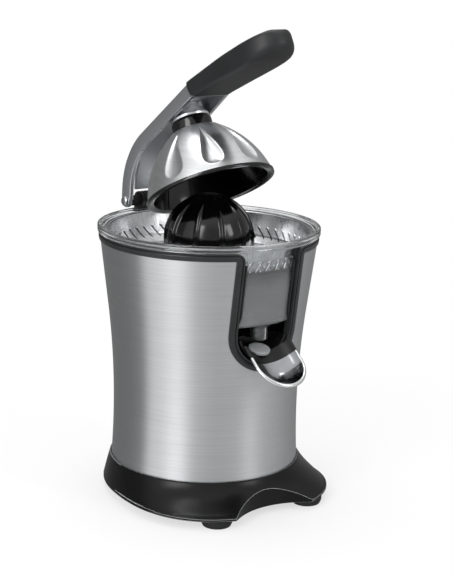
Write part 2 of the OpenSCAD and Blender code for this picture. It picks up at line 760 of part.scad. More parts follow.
module drive_spindle() color("silver") {
    translate([0, 0, hex_z0]) cylinder(r = spindle_r, h = flange_z0 - hex_z0, $fn = 6);
    disc(flange_r, flange_z0, flange_z0 + 2);
    disc(spindle_r, flange_z0 + 2 - eps, reamer_z0 - 4);
    translate([0, 0, reamer_z0 - 4 - eps]) cylinder(r = drive_r, h = drive_z1 - reamer_z0 + 4, $fn = 6);
}

spring_r = 7;
wire_r = 0.6;
spring_turns = 3.5;

// A coil as one swept skin: rings of points along the helix, closed by two caps.
coil_sides = 8;
coil_steps = 56;
coil_z0 = hub_z1 + wire_r + 0.05;
coil_z1 = flange_z0 - wire_r - 0.05;
function coil_point(k, j) = let (a = 360 * spring_turns * k / coil_steps, b = 360 * j / coil_sides,
        r = spring_r + wire_r * cos(b), z = coil_z0 + (coil_z1 - coil_z0) * k / coil_steps)
    [r * cos(a), r * sin(a), z + wire_r * sin(b)];
function coil_face(k, j) = let (n = (j + 1) % coil_sides)
    [k * coil_sides + j, (k + 1) * coil_sides + j, (k + 1) * coil_sides + n, k * coil_sides + n];

module return_spring() color("silver") polyhedron(
    [for (k = [0:coil_steps], j = [0:coil_sides - 1]) coil_point(k, j)],
    concat(
        [for (k = [0:coil_steps - 1], j = [0:coil_sides - 1]) coil_face(k, j)],
        [[for (j = [0:coil_sides - 1]) j]],
        [[for (j = [coil_sides - 1:-1:0]) coil_steps * coil_sides + j]]),
    convexity = 8);

module at_switch() rotate([0, 0, switch_a]) children();

module microswitch() color("#202022") at_switch() difference() {
    translate([switch_x - 2, -switch_w / 2, switch_z0]) cube([switch_l, switch_w, switch_h]);
    translate([switch_x, 0, switch_z0 + 3]) cylinder(r = 1.5 + running, h = switch_h);
}

module switch_plunger() color("firebrick") at_switch() translate([switch_x, 0, 0])
    disc(1.5, switch_z0 + 3 + press_travel + 0.3, flange_z0 - gap);

reamer_crown_z = reamer_z0 + 13;
reamer_rib = 1.5;
reamer_wall = 2.5;
reamer_crown_h = reamer_tip_z - reamer_crown_z;
function reamer_side(out) = concat(
    [[reamer_r - 0.3 + out, reamer_z0], [reamer_r + out, reamer_crown_z]],
    [for (a = [15:15:75]) [(reamer_r + out) * cos(a), reamer_crown_z + (reamer_crown_h + out) * sin(a)]]);

module reamer() color("#0c0c0d") {
    difference() {
        union() {
            rotate_extrude() polygon(concat(
                [[0, reamer_z0]], reamer_side(-reamer_rib), [[3, reamer_tip_z], [0, reamer_tip_z]]));
            for (i = [0:rib_n - 1]) rotate([90, 0, i * 360 / rib_n]) linear_extrude(2.4, center = true)
                polygon(concat([[5, reamer_z0]], reamer_side(0), [[1.5, reamer_tip_z - 2]]));
        }
        rotate_extrude() polygon(concat(
            [[0, reamer_z0 - 1], [reamer_r - reamer_rib - reamer_wall, reamer_z0 - 1]],
            reamer_side(-reamer_rib - reamer_wall), [[0, reamer_tip_z - 5]]));
    }
    difference() {
        disc(drive_r + 3, reamer_z0 - 1.5, reamer_tip_z - 4.5);
        translate([0, 0, reamer_z0 - 4]) cylinder(r = drive_r + 0.1, h = drive_z1 - reamer_z0 + 4.3, $fn = 6);
    }
    for (i = [0:2]) rotate([0, 0, 60 * i + 12]) difference() {
        translate([reamer_rib + 2 - reamer_r, -0.8, reamer_z0 + 1])
            cube([2 * (reamer_r - reamer_rib - 2), 1.6, 20]);
        disc(drive_r + 2, reamer_z0, reamer_tip_z);
    }
}

// ---- spout ----

pivot_y = 45;
pivot_z = window_z - 17;
spout_pin_r = 2;
lug_x0 = 14;
lug_x1 = 17.5;
barrel_r = 4;
pad_r = 8.5;
pad_t = 2.5;
spout_top_z = bowl_z0 - 10;
spout_back_y = 59;
spout_depth = 13.3;
trough_r = (spout_w * spout_w + spout_depth * spout_depth) / (2 * spout_depth);
tray_z = nozzle_z0 - 14.5;
carrier_y = 77;

module at_pivot() translate([0, -pivot_y, pivot_z]) children();

// Turns a shape drawn with the spout closed down to its resting place.
module spout_down() at_pivot() rotate([spout_drop, 0, 0]) translate([0, pivot_y, -pivot_z]) children();

module spout_lugs() mirrored_x() at_pivot() {
    along_x(barrel_r, lug_x0, lug_x1);
    translate([lug_x0, -barrel_r, window_z - window_half - 1 - pivot_z])
        cube([lug_x1 - lug_x0, 2 * barrel_r, pivot_z - window_z + window_half + 1]);
}

module at_lip() translate([0, -spout_tip_y, spout_tip_z]) rotate([spout_slope, 0, 0]) children();

// The trough is a round tube cut open: a sloping front with a ball end and a flatter tray behind it.
module spout_form(inset) {
    at_lip() translate([0, spout_w, trough_r - spout_depth]) {
        sphere(trough_r - inset);
        rotate([-90, 0, 0]) cylinder(r = trough_r - inset, h = 60);
    }
    translate([0, -nozzle_y, tray_z]) rotate([spout_drop, 0, 0])
        translate([0, nozzle_y - spout_back_y - inset, trough_r]) rotate([90, 0, 0])
            cylinder(r = trough_r - inset, h = 22);
}

module spout_trim() {
    translate([-40, -160, spout_top_z]) cube([80, 120, 60]);
    translate([-40, -spout_back_y, 100]) cube([80, 60, 60]);
    at_lip() translate([-40, -40, 0]) cube([80, 140, 80]);
}

module spout_shell() difference() {
    spout_form(0);
    spout_form(spout_t);
    spout_trim();
}

module spout_chute() color("silver") intersection() {
    spout_shell();
    translate([-40, -carrier_y - 60, 90]) cube([80, 60, 80]);
}

module spout_carrier() color("#161617") difference() {
    union() {
        intersection() {
            spout_shell();
            translate([-40, -carrier_y, 90]) cube([80, 60, 80]);
        }
        intersection() {
            spout_form(0.5);
            spout_down() translate([0, -nozzle_y, 0])
                disc(pad_r - 3, nozzle_z0 - 20, nozzle_z0 - 0.4 - pad_t);
        }
        at_pivot() {
            along_x(barrel_r, -lug_x0 + gap, lug_x0 - gap);
            translate([-lug_x0 + gap + 1, pivot_y - spout_back_y - spout_t / 2, -2.5])
                cube([2 * (lug_x0 - gap - 1), spout_back_y - pivot_y + spout_t / 2, 4]);
        }
    }
    at_pivot() along_x(spout_pin_r + running, -lug_x0 - 1, lug_x0 + 1);
}

module seal_pad() color("#b8bcc0") spout_down() translate([0, -nozzle_y, 0]) difference() {
    disc(pad_r, nozzle_z0 - 0.4 - pad_t, nozzle_z0 - 0.4);
    translate([0, 0, -eps]) disc(nozzle_r - 1, nozzle_z0 - 1, nozzle_z0);
}

module spout_axle() color("silver") at_pivot() along_x(spout_pin_r, -lug_x1 - 1.5, lug_x1 + 1.5);

// ---- arm, drawn closed and then turned up about the hinge ----

arm_skin = 3;
web_w = 11;
fork_s = 34;
web_s = 12;
arc_l = bend_r * bend_a * PI / 180;
root_a = 90 + arm_lean;
end_a = root_a + bend_a;
arc_c = [hinge_y, hinge_z] + arm_root * [cos(root_a), sin(root_a)] + bend_r * [-sin(root_a), cos(root_a)];
arc_end = arc_c + bend_r * [sin(end_a), -cos(end_a)];
arm_end = arc_end + arm_l * [cos(end_a), sin(end_a)];

function arm_angle(s) = root_a + bend_a * min(1, max(0, (s - arm_root) / arc_l));
function arm_line(s) = s < arm_root
    ? [hinge_y, hinge_z] + s * [cos(root_a), sin(root_a)]
    : s < arm_root + arc_l ? arc_c + bend_r * [sin(arm_angle(s)), -cos(arm_angle(s))]
    : arc_end + (s - arm_root - arc_l) * [cos(end_a), sin(end_a)];
function arm_half(s) = (arm_d0 + (arm_d1 - arm_d0) * min(1, max(0, s / (arm_root + arc_l)))) / 2;
function arm_edge(s, side) = arm_line(s) + side * [-sin(arm_angle(s)), cos(arm_angle(s))];
function arm_steps(s0, s1) = concat(
    [s0], [for (i = [0:8]) let (s = arm_root + arc_l * i / 8) if (s > s0 && s < s1) s], [s1]);
function arm_band(s0, s1, low, high) = concat(
    [for (s = arm_steps(s0, s1)) arm_edge(s, arm_half(s) + low)],
    [for (s = reversed(arm_steps(s0, s1))) arm_edge(s, -arm_half(s) - high)]);

module opened() at_hinge() rotate([-arm_open, 0, 0]) translate([0, -hinge_y, -hinge_z]) children();

module side_plate(points, x0, x1)
    rotate([90, 0, 90]) translate([0, 0, x0]) linear_extrude(x1 - x0) polygon(points);

arm_s1 = arm_root + arc_l + arm_l;
taper_w = arm_w - 5;
function half_w_at(y, inset) = arm_w - inset + (taper_w - arm_w) * (hinge_y - y) / (hinge_y - arm_end[0]);

module arm_plan(inset) {
    y0 = hinge_y + 20;
    y1 = arm_end[0] - 20;
    w0 = half_w_at(hinge_y, inset);
    w1 = half_w_at(y1, inset);
    linear_extrude(2 * hinge_z)
        polygon([[-w0, y0], [w0, y0], [w0, hinge_y], [w1, y1], [-w1, y1], [-w0, hinge_y]]);
}

module arm_casting() color("#9a9da1") opened() difference() {
    union() {
        intersection() {
            union() {
                side_plate(arm_band(2, arm_s1, 0, 0), -arm_w, arm_w);
                at_hinge() along_x(5.5, -arm_w, arm_w);
            }
            arm_plan(0);
        }
        arm_tongue(0);
    }
    intersection() {
        side_plate(arm_band(-20, arm_s1 - 4, 20, -arm_skin), -arm_w, arm_w);
        arm_plan(arm_wall);
    }
    intersection() {
        side_plate(arm_band(-20, web_s, 20, 20), -arm_w, arm_w);
        arm_plan(arm_wall);
    }
    mirrored_x() intersection() {
        side_plate(arm_band(-20, fork_s, 20, 20), web_w, arm_w);
        arm_plan(arm_wall);
    }
    at_hinge() along_x(hinge_pin_r + running, -arm_w - 1, arm_w + 1);
    for (y = [-boss_screw_y, boss_screw_y]) dome_axis() translate([0, y, 0])
        disc(boss_screw_r, joint_h, skin_z(y) - dome_rim_z + 2);
    grip_screw_places() disc(grip_screw_r, -tongue_t, 1);
}

// ---- grip: a tongue of the arm inside a soft shell ----

tongue_w = 9;
tongue_t = 5;
tongue_l = 70;
tongue_a = 3;
grip_w = 20;
grip_screw_r = 1.4;
// distance in front of the arm's end, drop, half thickness
grip_stations = [[1, -1, 6], [50, 1, 7], [75, 2.6, 7.5]];
grip_end = [86, 5, 5.5];

module at_grip() translate([0, arm_end[0], arm_end[1]]) children();

module arm_tongue(grow) at_grip() rotate([tongue_a, 0, 0])
    translate([-tongue_w - grow, -tongue_l - grow, -tongue_t / 2 - grow])
        cube([2 * (tongue_w + grow), tongue_l + 6 + grow, tongue_t + 2 * grow]);

module grip() color("#2b2c2e") opened() difference() {
    at_grip() hull() {
        for (g = grip_stations) mirrored_x()
            translate([grip_w - g[2], -g[0], -g[1]]) sphere(r = g[2], $fn = 32);
        for (a = [-90:30:90]) translate([0, -grip_end[0], -grip_end[1]]) rotate([0, 0, a])
            translate([0, grip_end[2] - grip_w, 0]) sphere(r = grip_end[2], $fn = 32);
    }
    arm_tongue(0.1);
    side_plate(arm_band(0, arm_s1 + eps, 1, 1), -arm_w, arm_w);
    grip_screw_places() {
        disc(grip_screw_r, -30, 0);
        disc(3, -30, -tongue_t / 2 - 2.5);
    }
}

module grip_screw_places() at_grip() rotate([tongue_a, 0, 0])
    for (y = [25, 60]) translate([0, -y, 0]) children();

module grip_screws() color("silver") opened() grip_screw_places() {
    disc(grip_screw_r, -tongue_t / 2 - 3, 1);
    disc(2.8, -tongue_t / 2 - 4, -tongue_t / 2 - 2.5);
}

// ---- press dome ----

dome_shell_t = 1.2;
liner_t = 2;
lip_h = 3;
liner_h = collar_h0 - dome_shell_t;
side_c = [dome_r - 79.5, -13.7];
knuckle_r = 4;
joint_h = collar_h0 + collar_h + knuckle_r + 0.5;
boss_gap = 1.5;
boss_h0 = collar_h0 + collar_h + boss_gap;
boss_r = 15.5;
boss_neck_r = 10.5;
boss_screw_y = 8;
boss_screw_r = 1.25;
dome_pin_r = 2;
skin_end = arc_end - (arm_d1 / 2 - arm_skin) * [-sin(end_a), cos(end_a)];
function skin_z(y) = skin_end[1] + (y - skin_end[0]) * tan(end_a);

// Everything here stands on the rim's plane, on the dome's own axis.
module dome_axis() translate([0, 0, dome_rim_z]) children();

function dome_side(inset, h0, h1) = let (r = dome_side_r - inset)
    [for (i = [0:10]) let (h = h0 + (h1 - h0) * i / 10) [side_c[0] + sqrt(r * r - pow(h - side_c[1], 2)), h]];

module dome_shell() color("#c8cacc") opened() dome_axis() difference() {
    rotate_extrude() polygon(concat(
        dome_side(0, lip_h, collar_h0), [[0, collar_h0], [0, collar_h0 - dome_shell_t]],
        reversed(dome_side(dome_shell_t, lip_h, collar_h0 - dome_shell_t))));
    disc(6, 0, collar_h0 + 1);
}

module dome_liner() color("#0e0e0f") opened() dome_axis() difference() {
    union() {
        rotate_extrude() polygon(concat(
            [[dome_r, 0.5], [dome_r, lip_h - 0.2]],
            dome_side(dome_shell_t + 0.1, lip_h - 0.2, liner_h - 0.2),
            [[0, liner_h - 0.2], [0, liner_h - liner_t]],
            reversed(dome_side(dome_shell_t + liner_t, 0, liner_h - liner_t)), [[dome_r - 0.8, 0]]));
        around(12, 15) rotate([90, 0, 0]) linear_extrude(1.2, center = true) polygon(concat(
            dome_side(dome_shell_t + 1, 2, liner_h - 3),
            reversed(dome_side(dome_shell_t + liner_t + 1, 2, liner_h - 3))));
    }
    disc(3, 0, collar_h0 + 1);
}

module dome_collar() color("#0c0c0d") opened() dome_axis() difference() {
    union() {
        disc(collar_r, collar_h0, collar_h0 + collar_h - 1);
        disc(collar_r - 1, collar_h0, collar_h0 + collar_h);
        disc(5.9, collar_h0 - dome_shell_t - 0.1, collar_h0 + 1);
        disc(knuckle_r, collar_h0, joint_h);
        translate([0, 0, joint_h]) sphere(knuckle_r);
    }
    translate([0, 0, joint_h]) along_x(dome_pin_r + running, -7, 7);
    disc(1.5, collar_h0 - 4, collar_h0 + 6);
}

module dome_boss() color("#c0c3c6") opened() difference() {
    dome_axis() rotate_extrude() polygon(concat(
        [[0, boss_h0], [boss_r, boss_h0], [boss_r, boss_h0 + 1]],
        [for (a = [15:15:75])
            [boss_neck_r + (boss_r - boss_neck_r) * (1 - sin(a)), boss_h0 + 1 + 7 * (1 - cos(a))]],
        [[boss_neck_r, boss_h0 + 8], [boss_neck_r, boss_h0 + 16], [0, boss_h0 + 16]]));
    side_plate(arm_band(fork_s, arm_s1, arm_skin - arm_d1, 15), -arm_w, arm_w);
    dome_axis() {
        disc(knuckle_r + 1.2, boss_h0 - 1, joint_h);
        translate([0, 0, joint_h]) sphere(knuckle_r + 1.2);
        translate([0, 0, joint_h]) along_x(dome_pin_r, -boss_r, boss_r);
    }
    for (y = [-boss_screw_y, boss_screw_y]) dome_axis() translate([0, y, 0]) {
        disc(boss_screw_r, boss_h0, 90);
        disc(2.4, boss_h0 - 1, joint_h + 2.5);
    }
}

module dome_pin() color("silver") opened() dome_axis()
    translate([0, 0, joint_h]) along_x(dome_pin_r, -boss_neck_r, boss_neck_r);

module boss_screws() color("silver") opened() dome_axis()
    for (y = [-boss_screw_y, boss_screw_y]) translate([0, y, 0]) {
        disc(boss_screw_r, joint_h + 1, skin_z(y) - dome_rim_z + 2);
        disc(2.2, joint_h + 1, joint_h + 2.5);
    }

// ---- board and leads in the base ----

board_z = base_z1 + 4;
board_t = 1.6;

module rectifier_board() color("darkgreen") translate([0, 56, 0]) {
    translate([-20, -10, board_z]) cube([40, 20, board_t]);
    translate([-12, -6, board_z]) cube([10, 10, 8 + board_t]);
    translate([6, 0, board_z]) cylinder(r = 5, h = 14 + board_t);
    mirrored_x() translate([16, 0, base_z1]) cylinder(r = 3, h = board_z - base_z1);
}

// A lead from point to point, with a ball at each bend.
module lead(points, r) for (i = [0:len(points) - 2]) {
    d = points[i + 1] - points[i];
    l = norm(d);
    translate(points[i]) rotate([0, acos(d[2] / l), atan2(d[1], d[0])]) cylinder(r = r, h = l, $fn = 8);
    translate(points[i + 1]) sphere(r = r, $fn = 8);
}

module motor_leads() color("firebrick") mirrored_x() lead([
    [17, 50, board_z + board_t], [17, 50, board_z + 14], [10, motor_r + 4, board_z + 24],
    [10, motor_r + 4, can_z1 - 6], [10, motor_r - 0.4, can_z1 + 1]], 1.1);

switch_end = (switch_x - 2 + switch_l + 0.9) * [cos(switch_a), sin(switch_a)];

module switch_leads() color("navy") for (x = [-1.5, 1.5]) lead([
    [15 + x, 63, board_z + board_t], [15 + x, 63, board_z + 12], [40 + x, 56, board_z + 24],
    [40 + x, 56, cover_z + 10], [48, 20, cover_z + 12 + x], [50, 0, cover_z + 12 + x],
    [34, -18, cover_z + 12 + x],
    [switch_end[0], switch_end[1], switch_z0 + 5 + x]], 0.8);

base_housing();
base_plate();
rubber_feet();
base_screws();
tie_screws();
body_shell();
inner_body();
bowl_well();
trim_bezel();
juice_bowl();
sieve();
hinge_bracket();
hinge_pin();
hinge_spacers();
bracket_screws();
gearbox_case();
gearbox_cover();
gearbox_screws();
output_bush();
cluster_axle();
motor_can();
motor_end_bell();
motor_bushes();
field_magnets();
carbon_brushes();
microswitch();
spindle_bush();
shaft_seal();
cord_gland();
rectifier_board();
motor_leads();
switch_leads();
spout_axle();
motor_shaft();
armature_core();
armature_winding();
commutator();
cooling_fan();
motor_pinion();
cluster_gear();
output_gear();
hub_clip();
return_spring();
drive_spindle();
reamer();
switch_plunger();
spout_carrier();
spout_chute();
seal_pad();
arm_casting();
grip();
grip_screws();
dome_boss();
boss_screws();
dome_pin();
dome_shell();
dome_liner();
dome_collar();
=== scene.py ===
"""Looks for a lever citrus press: brushed steel body, clear juice collector, black reamer and cast arm.

Every mesh is built in millimetres in the CAD's own frame (+Z up, spout towards -Y) and scaled
to metres as it becomes a piece.
"""

import math

import bmesh
import bpy
from mathutils import Matrix, Vector


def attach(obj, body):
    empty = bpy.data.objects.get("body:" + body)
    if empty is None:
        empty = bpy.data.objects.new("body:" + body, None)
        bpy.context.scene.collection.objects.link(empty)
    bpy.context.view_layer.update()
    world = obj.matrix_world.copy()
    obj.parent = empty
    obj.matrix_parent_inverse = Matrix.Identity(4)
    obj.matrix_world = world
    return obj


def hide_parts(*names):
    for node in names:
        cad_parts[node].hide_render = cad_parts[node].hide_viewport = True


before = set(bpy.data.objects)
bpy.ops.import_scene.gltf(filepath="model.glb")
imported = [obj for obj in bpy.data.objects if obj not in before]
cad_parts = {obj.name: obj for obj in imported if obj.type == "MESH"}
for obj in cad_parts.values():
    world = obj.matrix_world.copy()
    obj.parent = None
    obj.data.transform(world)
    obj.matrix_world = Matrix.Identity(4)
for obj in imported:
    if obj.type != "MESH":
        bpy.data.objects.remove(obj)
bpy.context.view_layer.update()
MM = 0.001

# ---- sizes shared with the CAD, in millimetres ----

WAIST_R, WAIST_Z, FLARE_R, FLARE_END_Z = 77.8, 74, 690, 160
SHELL_Z0, SHELL_Z1 = 27, 215
BAND_Z1 = 221.4
RIM_R, RIM_Z1 = 92.6, 228
WINDOW_HALF, WINDOW_Z, FRAME_W = 26.5, 154, 7
HINGE = Vector((0, 91.5, 234))
ARM_OPEN = 30
DOME_RIM_Z = 206.5
BASE_Z0, BASE_Z1 = 6.5, 30


def body_r(z):
    """Radius of the steel side at a height."""
    if z < FLARE_END_Z:
        return WAIST_R + (z - WAIST_Z) ** 2 / (2 * FLARE_R)
    end = WAIST_R + (FLARE_END_Z - WAIST_Z) ** 2 / (2 * FLARE_R)
    return end + (z - FLARE_END_Z) * (FLARE_END_Z - WAIST_Z) / FLARE_R


def turn(degrees, axis, about=(0, 0, 0)):
    """Rotation about a point, in degrees."""
    place = Matrix.Translation(about)
    return place @ Matrix.Rotation(math.radians(degrees), 4, axis) @ place.inverted()


OPENED = turn(-ARM_OPEN, "X", HINGE)
DOME_AXIS = OPENED @ Matrix.Translation((0, 0, DOME_RIM_Z))


def smoothstep(x, low=0.0, high=1.0):
    """0 up to low, 1 from high on, and an S between them."""
    t = min(1.0, max(0.0, (x - low) / (high - low)))
    return t * t * (3 - 2 * t)


# ---- mesh tools ----


def rounded(points, closed=False, steps=4):
    """A line through (a, b) corners; a third value on a corner is the radius it is rounded to."""
    line = []
    n = len(points)
    for i, p in enumerate(points):
        here = Vector(p[:2])
        if len(p) < 3 or (not closed and i in (0, n - 1)):
            line.append(here)
            continue
        back, on = Vector(points[i - 1][:2]) - here, Vector(points[(i + 1) % n][:2]) - here
        half = back.angle(on) / 2
        reach = min(p[2] / math.tan(half), 0.49 * back.length, 0.49 * on.length)
        start, end = here + back.normalized() * reach, here + on.normalized() * reach
        for k in range(steps + 1):
            t = k / steps
            line.append(start * (1 - t) ** 2 + here * 2 * t * (1 - t) + end * t * t)
    return line


def spun(line, closed=False, steps=128, degrees=360):
    """A profile of (radius, height) turned about Z."""
    bm = bmesh.new()
    verts = [bm.verts.new((p[0], 0, p[1])) for p in line]
    edges = [bm.edges.new(pair) for pair in zip(verts, verts[1:])]
    if closed:
        edges.append(bm.edges.new((verts[-1], verts[0])))
    bmesh.ops.spin(
        bm, geom=verts + edges, cent=(0, 0, 0), axis=(0, 0, 1),
        angle=math.radians(degrees), steps=steps, use_merge=degrees == 360,
    )
    bmesh.ops.remove_doubles(bm, verts=bm.verts, dist=1e-4)
    bmesh.ops.recalc_face_normals(bm, faces=bm.faces)
    return bm


def of_kind(geometry, kind):
    """The vertices, edges or faces among what an operator made."""
    return [g for g in geometry if isinstance(g, kind)]


def swept(sections, loop=False):
    """Closed sections, each a list of points, joined one to the next by extruding."""
    bm = bmesh.new()
    first = [bm.verts.new(p) for p in sections[0]]
    ring = [bm.edges.new((first[i - 1], first[i])) for i in range(len(first))]
    row, start = first, ring
    for points in sections[1:]:
        made = set(bmesh.ops.extrude_edge_only(bm, edges=ring)["geom"])
        row = [next(e.other_vert(old) for e in old.link_edges if e.other_vert(old) in made)
               for old in row]
        for vert, place in zip(row, points):
            vert.co = place
        fresh = set(row)
        ring = [e for e in of_kind(made, bmesh.types.BMEdge) if fresh.issuperset(e.verts)]
    if loop:
        bmesh.ops.bridge_loops(bm, edges=ring + start)
    else:
        bmesh.ops.contextual_create(bm, geom=ring)
        bmesh.ops.contextual_create(bm, geom=start)
    bmesh.ops.recalc_face_normals(bm, faces=bm.faces)
    return bm


def block(low, high, radius=0.0, segments=2):
    """A box between two corners with its edges bevelled."""
    bm = bmesh.new()
    bmesh.ops.create_cube(bm, size=1)
    low, high = Vector(low), Vector(high)
    bmesh.ops.scale(bm, vec=high - low, verts=bm.verts)
    bmesh.ops.translate(bm, vec=(low + high) / 2, verts=bm.verts)
    if radius:
        bmesh.ops.bevel(bm, geom=bm.edges[:], offset=radius, segments=segments, profile=0.5,
                        affect="EDGES", material=-1)
    return bm


def prism(outline, y0, y1):
    """An outline of (x, z) points extruded along Y."""
    bm = bmesh.new()
    face = bm.faces.new([bm.verts.new((x, y0, z)) for x, z in outline])
    made = bmesh.ops.extrude_face_region(bm, geom=[face])["geom"]
    bmesh.ops.translate(bm, vec=(0, y1 - y0, 0), verts=of_kind(made, bmesh.types.BMVert))
    bmesh.ops.recalc_face_normals(bm, faces=bm.faces)
    return bm


def merged(*parts):
    """Several meshes as one."""
    bm = bmesh.new()
    for part in parts:
        mesh = bpy.data.meshes.new("part")
        part.to_mesh(mesh)
        part.free()
        bm.from_mesh(mesh)
        bpy.data.meshes.remove(mesh)
    return bm


def placed(bm, matrix):
    """The same mesh, moved to its place."""
    bmesh.ops.transform(bm, matrix=matrix, verts=bm.verts)
    return bm


def mirrored(bm):
    """The same mesh on the other side of the YZ plane."""
    bm = bm.copy()
    bmesh.ops.scale(bm, vec=(-1, 1, 1), verts=bm.verts)
    bmesh.ops.reverse_faces(bm, faces=bm.faces)
    return bm


def crease(bm, sharp):
    """Makes edges sharp that turn by more than an angle in degrees."""
    for edge in bm.edges:
        edge.smooth = not (edge.is_manifold and edge.calc_face_angle(0) > math.radians(sharp))


def made_object(name, bm, sharp=35):
    """A mesh object in metres, smooth but for its sharp edges."""
    bmesh.ops.scale(bm, vec=(MM,) * 3, verts=bm.verts)
    for face in bm.faces:
        face.smooth = True
    crease(bm, sharp)
    mesh = bpy.data.meshes.new(name)
    bm.to_mesh(mesh)
    bm.free()
    obj = bpy.data.objects.new(name, mesh)
    bpy.context.scene.collection.objects.link(obj)
    return obj


def cut(obj, cutter, sharp=35):
    """Takes the cutter away from the object, for good."""
    tool = made_object("cutter", cutter)
    mod = obj.modifiers.new("cut", "BOOLEAN")
    mod.operation, mod.object, mod.solver = "DIFFERENCE", tool, "EXACT"
    mod.use_self = True
    deps = bpy.context.evaluated_depsgraph_get()
    result = bpy.data.meshes.new_from_object(obj.evaluated_get(deps))
    obj.modifiers.clear()
    old, obj.data = obj.data, result
    bpy.data.meshes.remove(old)
    bpy.data.objects.remove(tool)
    bm = bmesh.new()
    bm.from_mesh(obj.data)
    crease(bm, sharp)
    bm.to_mesh(obj.data)
    bm.free()


def dressed(obj, material, body, slot, *nodes):
    """Gives a piece its finish, its body and the CAD nodes that it stands for."""
    obj.data.materials.clear()
    obj.data.materials.append(material)
    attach(obj, body)
    if nodes:
        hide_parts(*nodes)
    return obj


# ---- material tools ----


def paint(text):
    """Linear colour of an sRGB hex value."""
    parts = [int(text[i:i + 2], 16) / 255 for i in (1, 3, 5)]
    return [c / 12.92 if c <= 0.04045 else ((c + 0.055) / 1.055) ** 2.4 for c in parts] + [1]


def add(tree, kind, values=None, links=None, **settings):
    """A node with its settings, its socket values and what feeds its sockets."""
    made = tree.nodes.new(kind)
    for key, value in settings.items():
        setattr(made, key, value)
    for key, value in (values or {}).items():
        made.inputs[key].default_value = value
    for key, source in (links or {}).items():
        tree.links.new(source, made.inputs[key])
    return made


def surface(name, colour, rough, **values):
    """A Principled material with nothing on it yet: its tree, shader and Object coordinates."""
    mat = bpy.data.materials.new(name)
    mat.use_nodes = True
    mat.node_tree.nodes.clear()
    tree = mat.node_tree
    shader = add(tree, "ShaderNodeBsdfPrincipled",
                 {"Base Color": paint(colour), "Roughness": rough, **values})
    add(tree, "ShaderNodeOutputMaterial", links={"Surface": shader.outputs[0]})
    where = add(tree, "ShaderNodeTexCoord").outputs["Object"]
    return mat, tree, shader, where


def grain(tree, where, size, detail=3.0, roughness=0.5):
    """Noise whose features are size millimetres along each axis."""
    fit = add(tree, "ShaderNodeMapping", {"Scale": [1 / (s * MM) for s in size]}, {"Vector": where})
    return add(tree, "ShaderNodeTexNoise", {"Scale": 1.0, "Detail": detail, "Roughness": roughness},
               {"Vector": fit.outputs[0]}).outputs["Fac"]


def ranged(tree, source, low, high, from_low=0.0, from_high=1.0):
    """The source's range from_low to from_high, drawn out to low to high."""
    return add(tree, "ShaderNodeMapRange",
               {"From Min": from_low, "From Max": from_high, "To Min": low, "To Max": high},
               {"Value": source}).outputs[0]


def tinted(tree, source, dark, light, low=0.3, high=0.7):
    """A colour that wanders between two hex values with a noise."""
    mix = add(tree, "ShaderNodeMix", data_type="RGBA", links={0: ranged(tree, source, 0, 1, low, high)})
    mix.inputs[6].default_value, mix.inputs[7].default_value = paint(dark), paint(light)
    return mix.outputs[2]


def bumped(tree, shader, height, depth, strength=1.0):
    """Bump of a depth in millimetres."""
    made = add(tree, "ShaderNodeBump", {"Strength": strength, "Distance": depth * MM},
               {"Height": height})
    tree.links.new(made.outputs[0], shader.inputs["Normal"])


def metal(name, dark, light, rough, line=(40, 40, 0.35), depth=0.01, spread=0.05, anisotropic=0.0):
    """A steel or aluminium whose grain runs along the long axes of its line size."""
    mat, tree, shader, where = surface(name, light, rough[0], Metallic=1.0, Anisotropic=anisotropic)
    lines = grain(tree, where, line, 4.0, 0.6)
    cloud = grain(tree, where, (18, 18, 18), 2.0)
    tree.links.new(tinted(tree, lines, dark, light), shader.inputs["Base Color"])
    both = add(tree, "ShaderNodeMath", {1: spread}, {0: cloud, 2: ranged(tree, lines, *rough)},
               operation="MULTIPLY_ADD")
    tree.links.new(both.outputs[0], shader.inputs["Roughness"])
    if anisotropic:
        way = add(tree, "ShaderNodeTangent", direction_type="RADIAL", axis="Z")
        tree.links.new(way.outputs[0], shader.inputs["Tangent"])
        shader.inputs["Anisotropic Rotation"].default_value = 0.25
    bumped(tree, shader, lines, depth)
    return mat


def plastic(name, dark, light, rough, pebble=0.6, depth=0.02, **values):
    """A moulded plastic or rubber: faint cloudy colour, uneven gloss, and its tool's fine texture."""
    mat, tree, shader, where = surface(name, light, rough[0], **values)
    cloud = grain(tree, where, (22, 22, 22), 2.0)
    fine = grain(tree, where, (pebble,) * 3, 2.0)
    tree.links.new(tinted(tree, cloud, dark, light), shader.inputs["Base Color"])
    tree.links.new(ranged(tree, cloud, *rough), shader.inputs["Roughness"])
    bumped(tree, shader, fine, depth)
    return mat


# Brushed stainless sheet: grit lines run round the body, so reflections stretch upwards.
# Real grit lines are 0.1 mm apart; drawn coarser so that they show.
brushed_steel = metal("brushed_stainless", "#C2C4C6", "#D2D4D5", (0.25, 0.33), (70, 70, 0.5), 0.002,
                      anisotropic=0.8)
# Pressed stainless, satin polished: soft, wide highlights that still follow its dents.
pressed_steel = metal("satin_pressed_stainless", "#D4D6D7", "#E0E1E2", (0.26, 0.31), (30, 30, 2), 0.001)
# Drawn stainless of the sieve: brighter, with marks of the deep drawing.
sieve_steel = metal("drawn_stainless", "#B8BABC", "#D2D3D4", (0.16, 0.26), (3, 3, 14), 0.01)
# Polished stainless of the spout: near mirror.
mirror_steel = metal("polished_stainless", "#8E9092", "#A2A4A6", (0.11, 0.16), (25, 25, 25), 0.003, 0.02)
# The spout's rolled lip and the sieve's pips: steel painted lighter than the rest, a painted highlight.
highlight_steel = metal("stainless_painted_highlight", "#E2E3E4", "#ECEDED", (0.17, 0.22), (25, 25, 25), 0.003, 0.02)
# Turned and rolled steel of pins and screws.
bright_steel = metal("turned_steel", "#A9ABAD", "#C4C6C8", (0.16, 0.28), (0.5, 8, 8), 0.006)
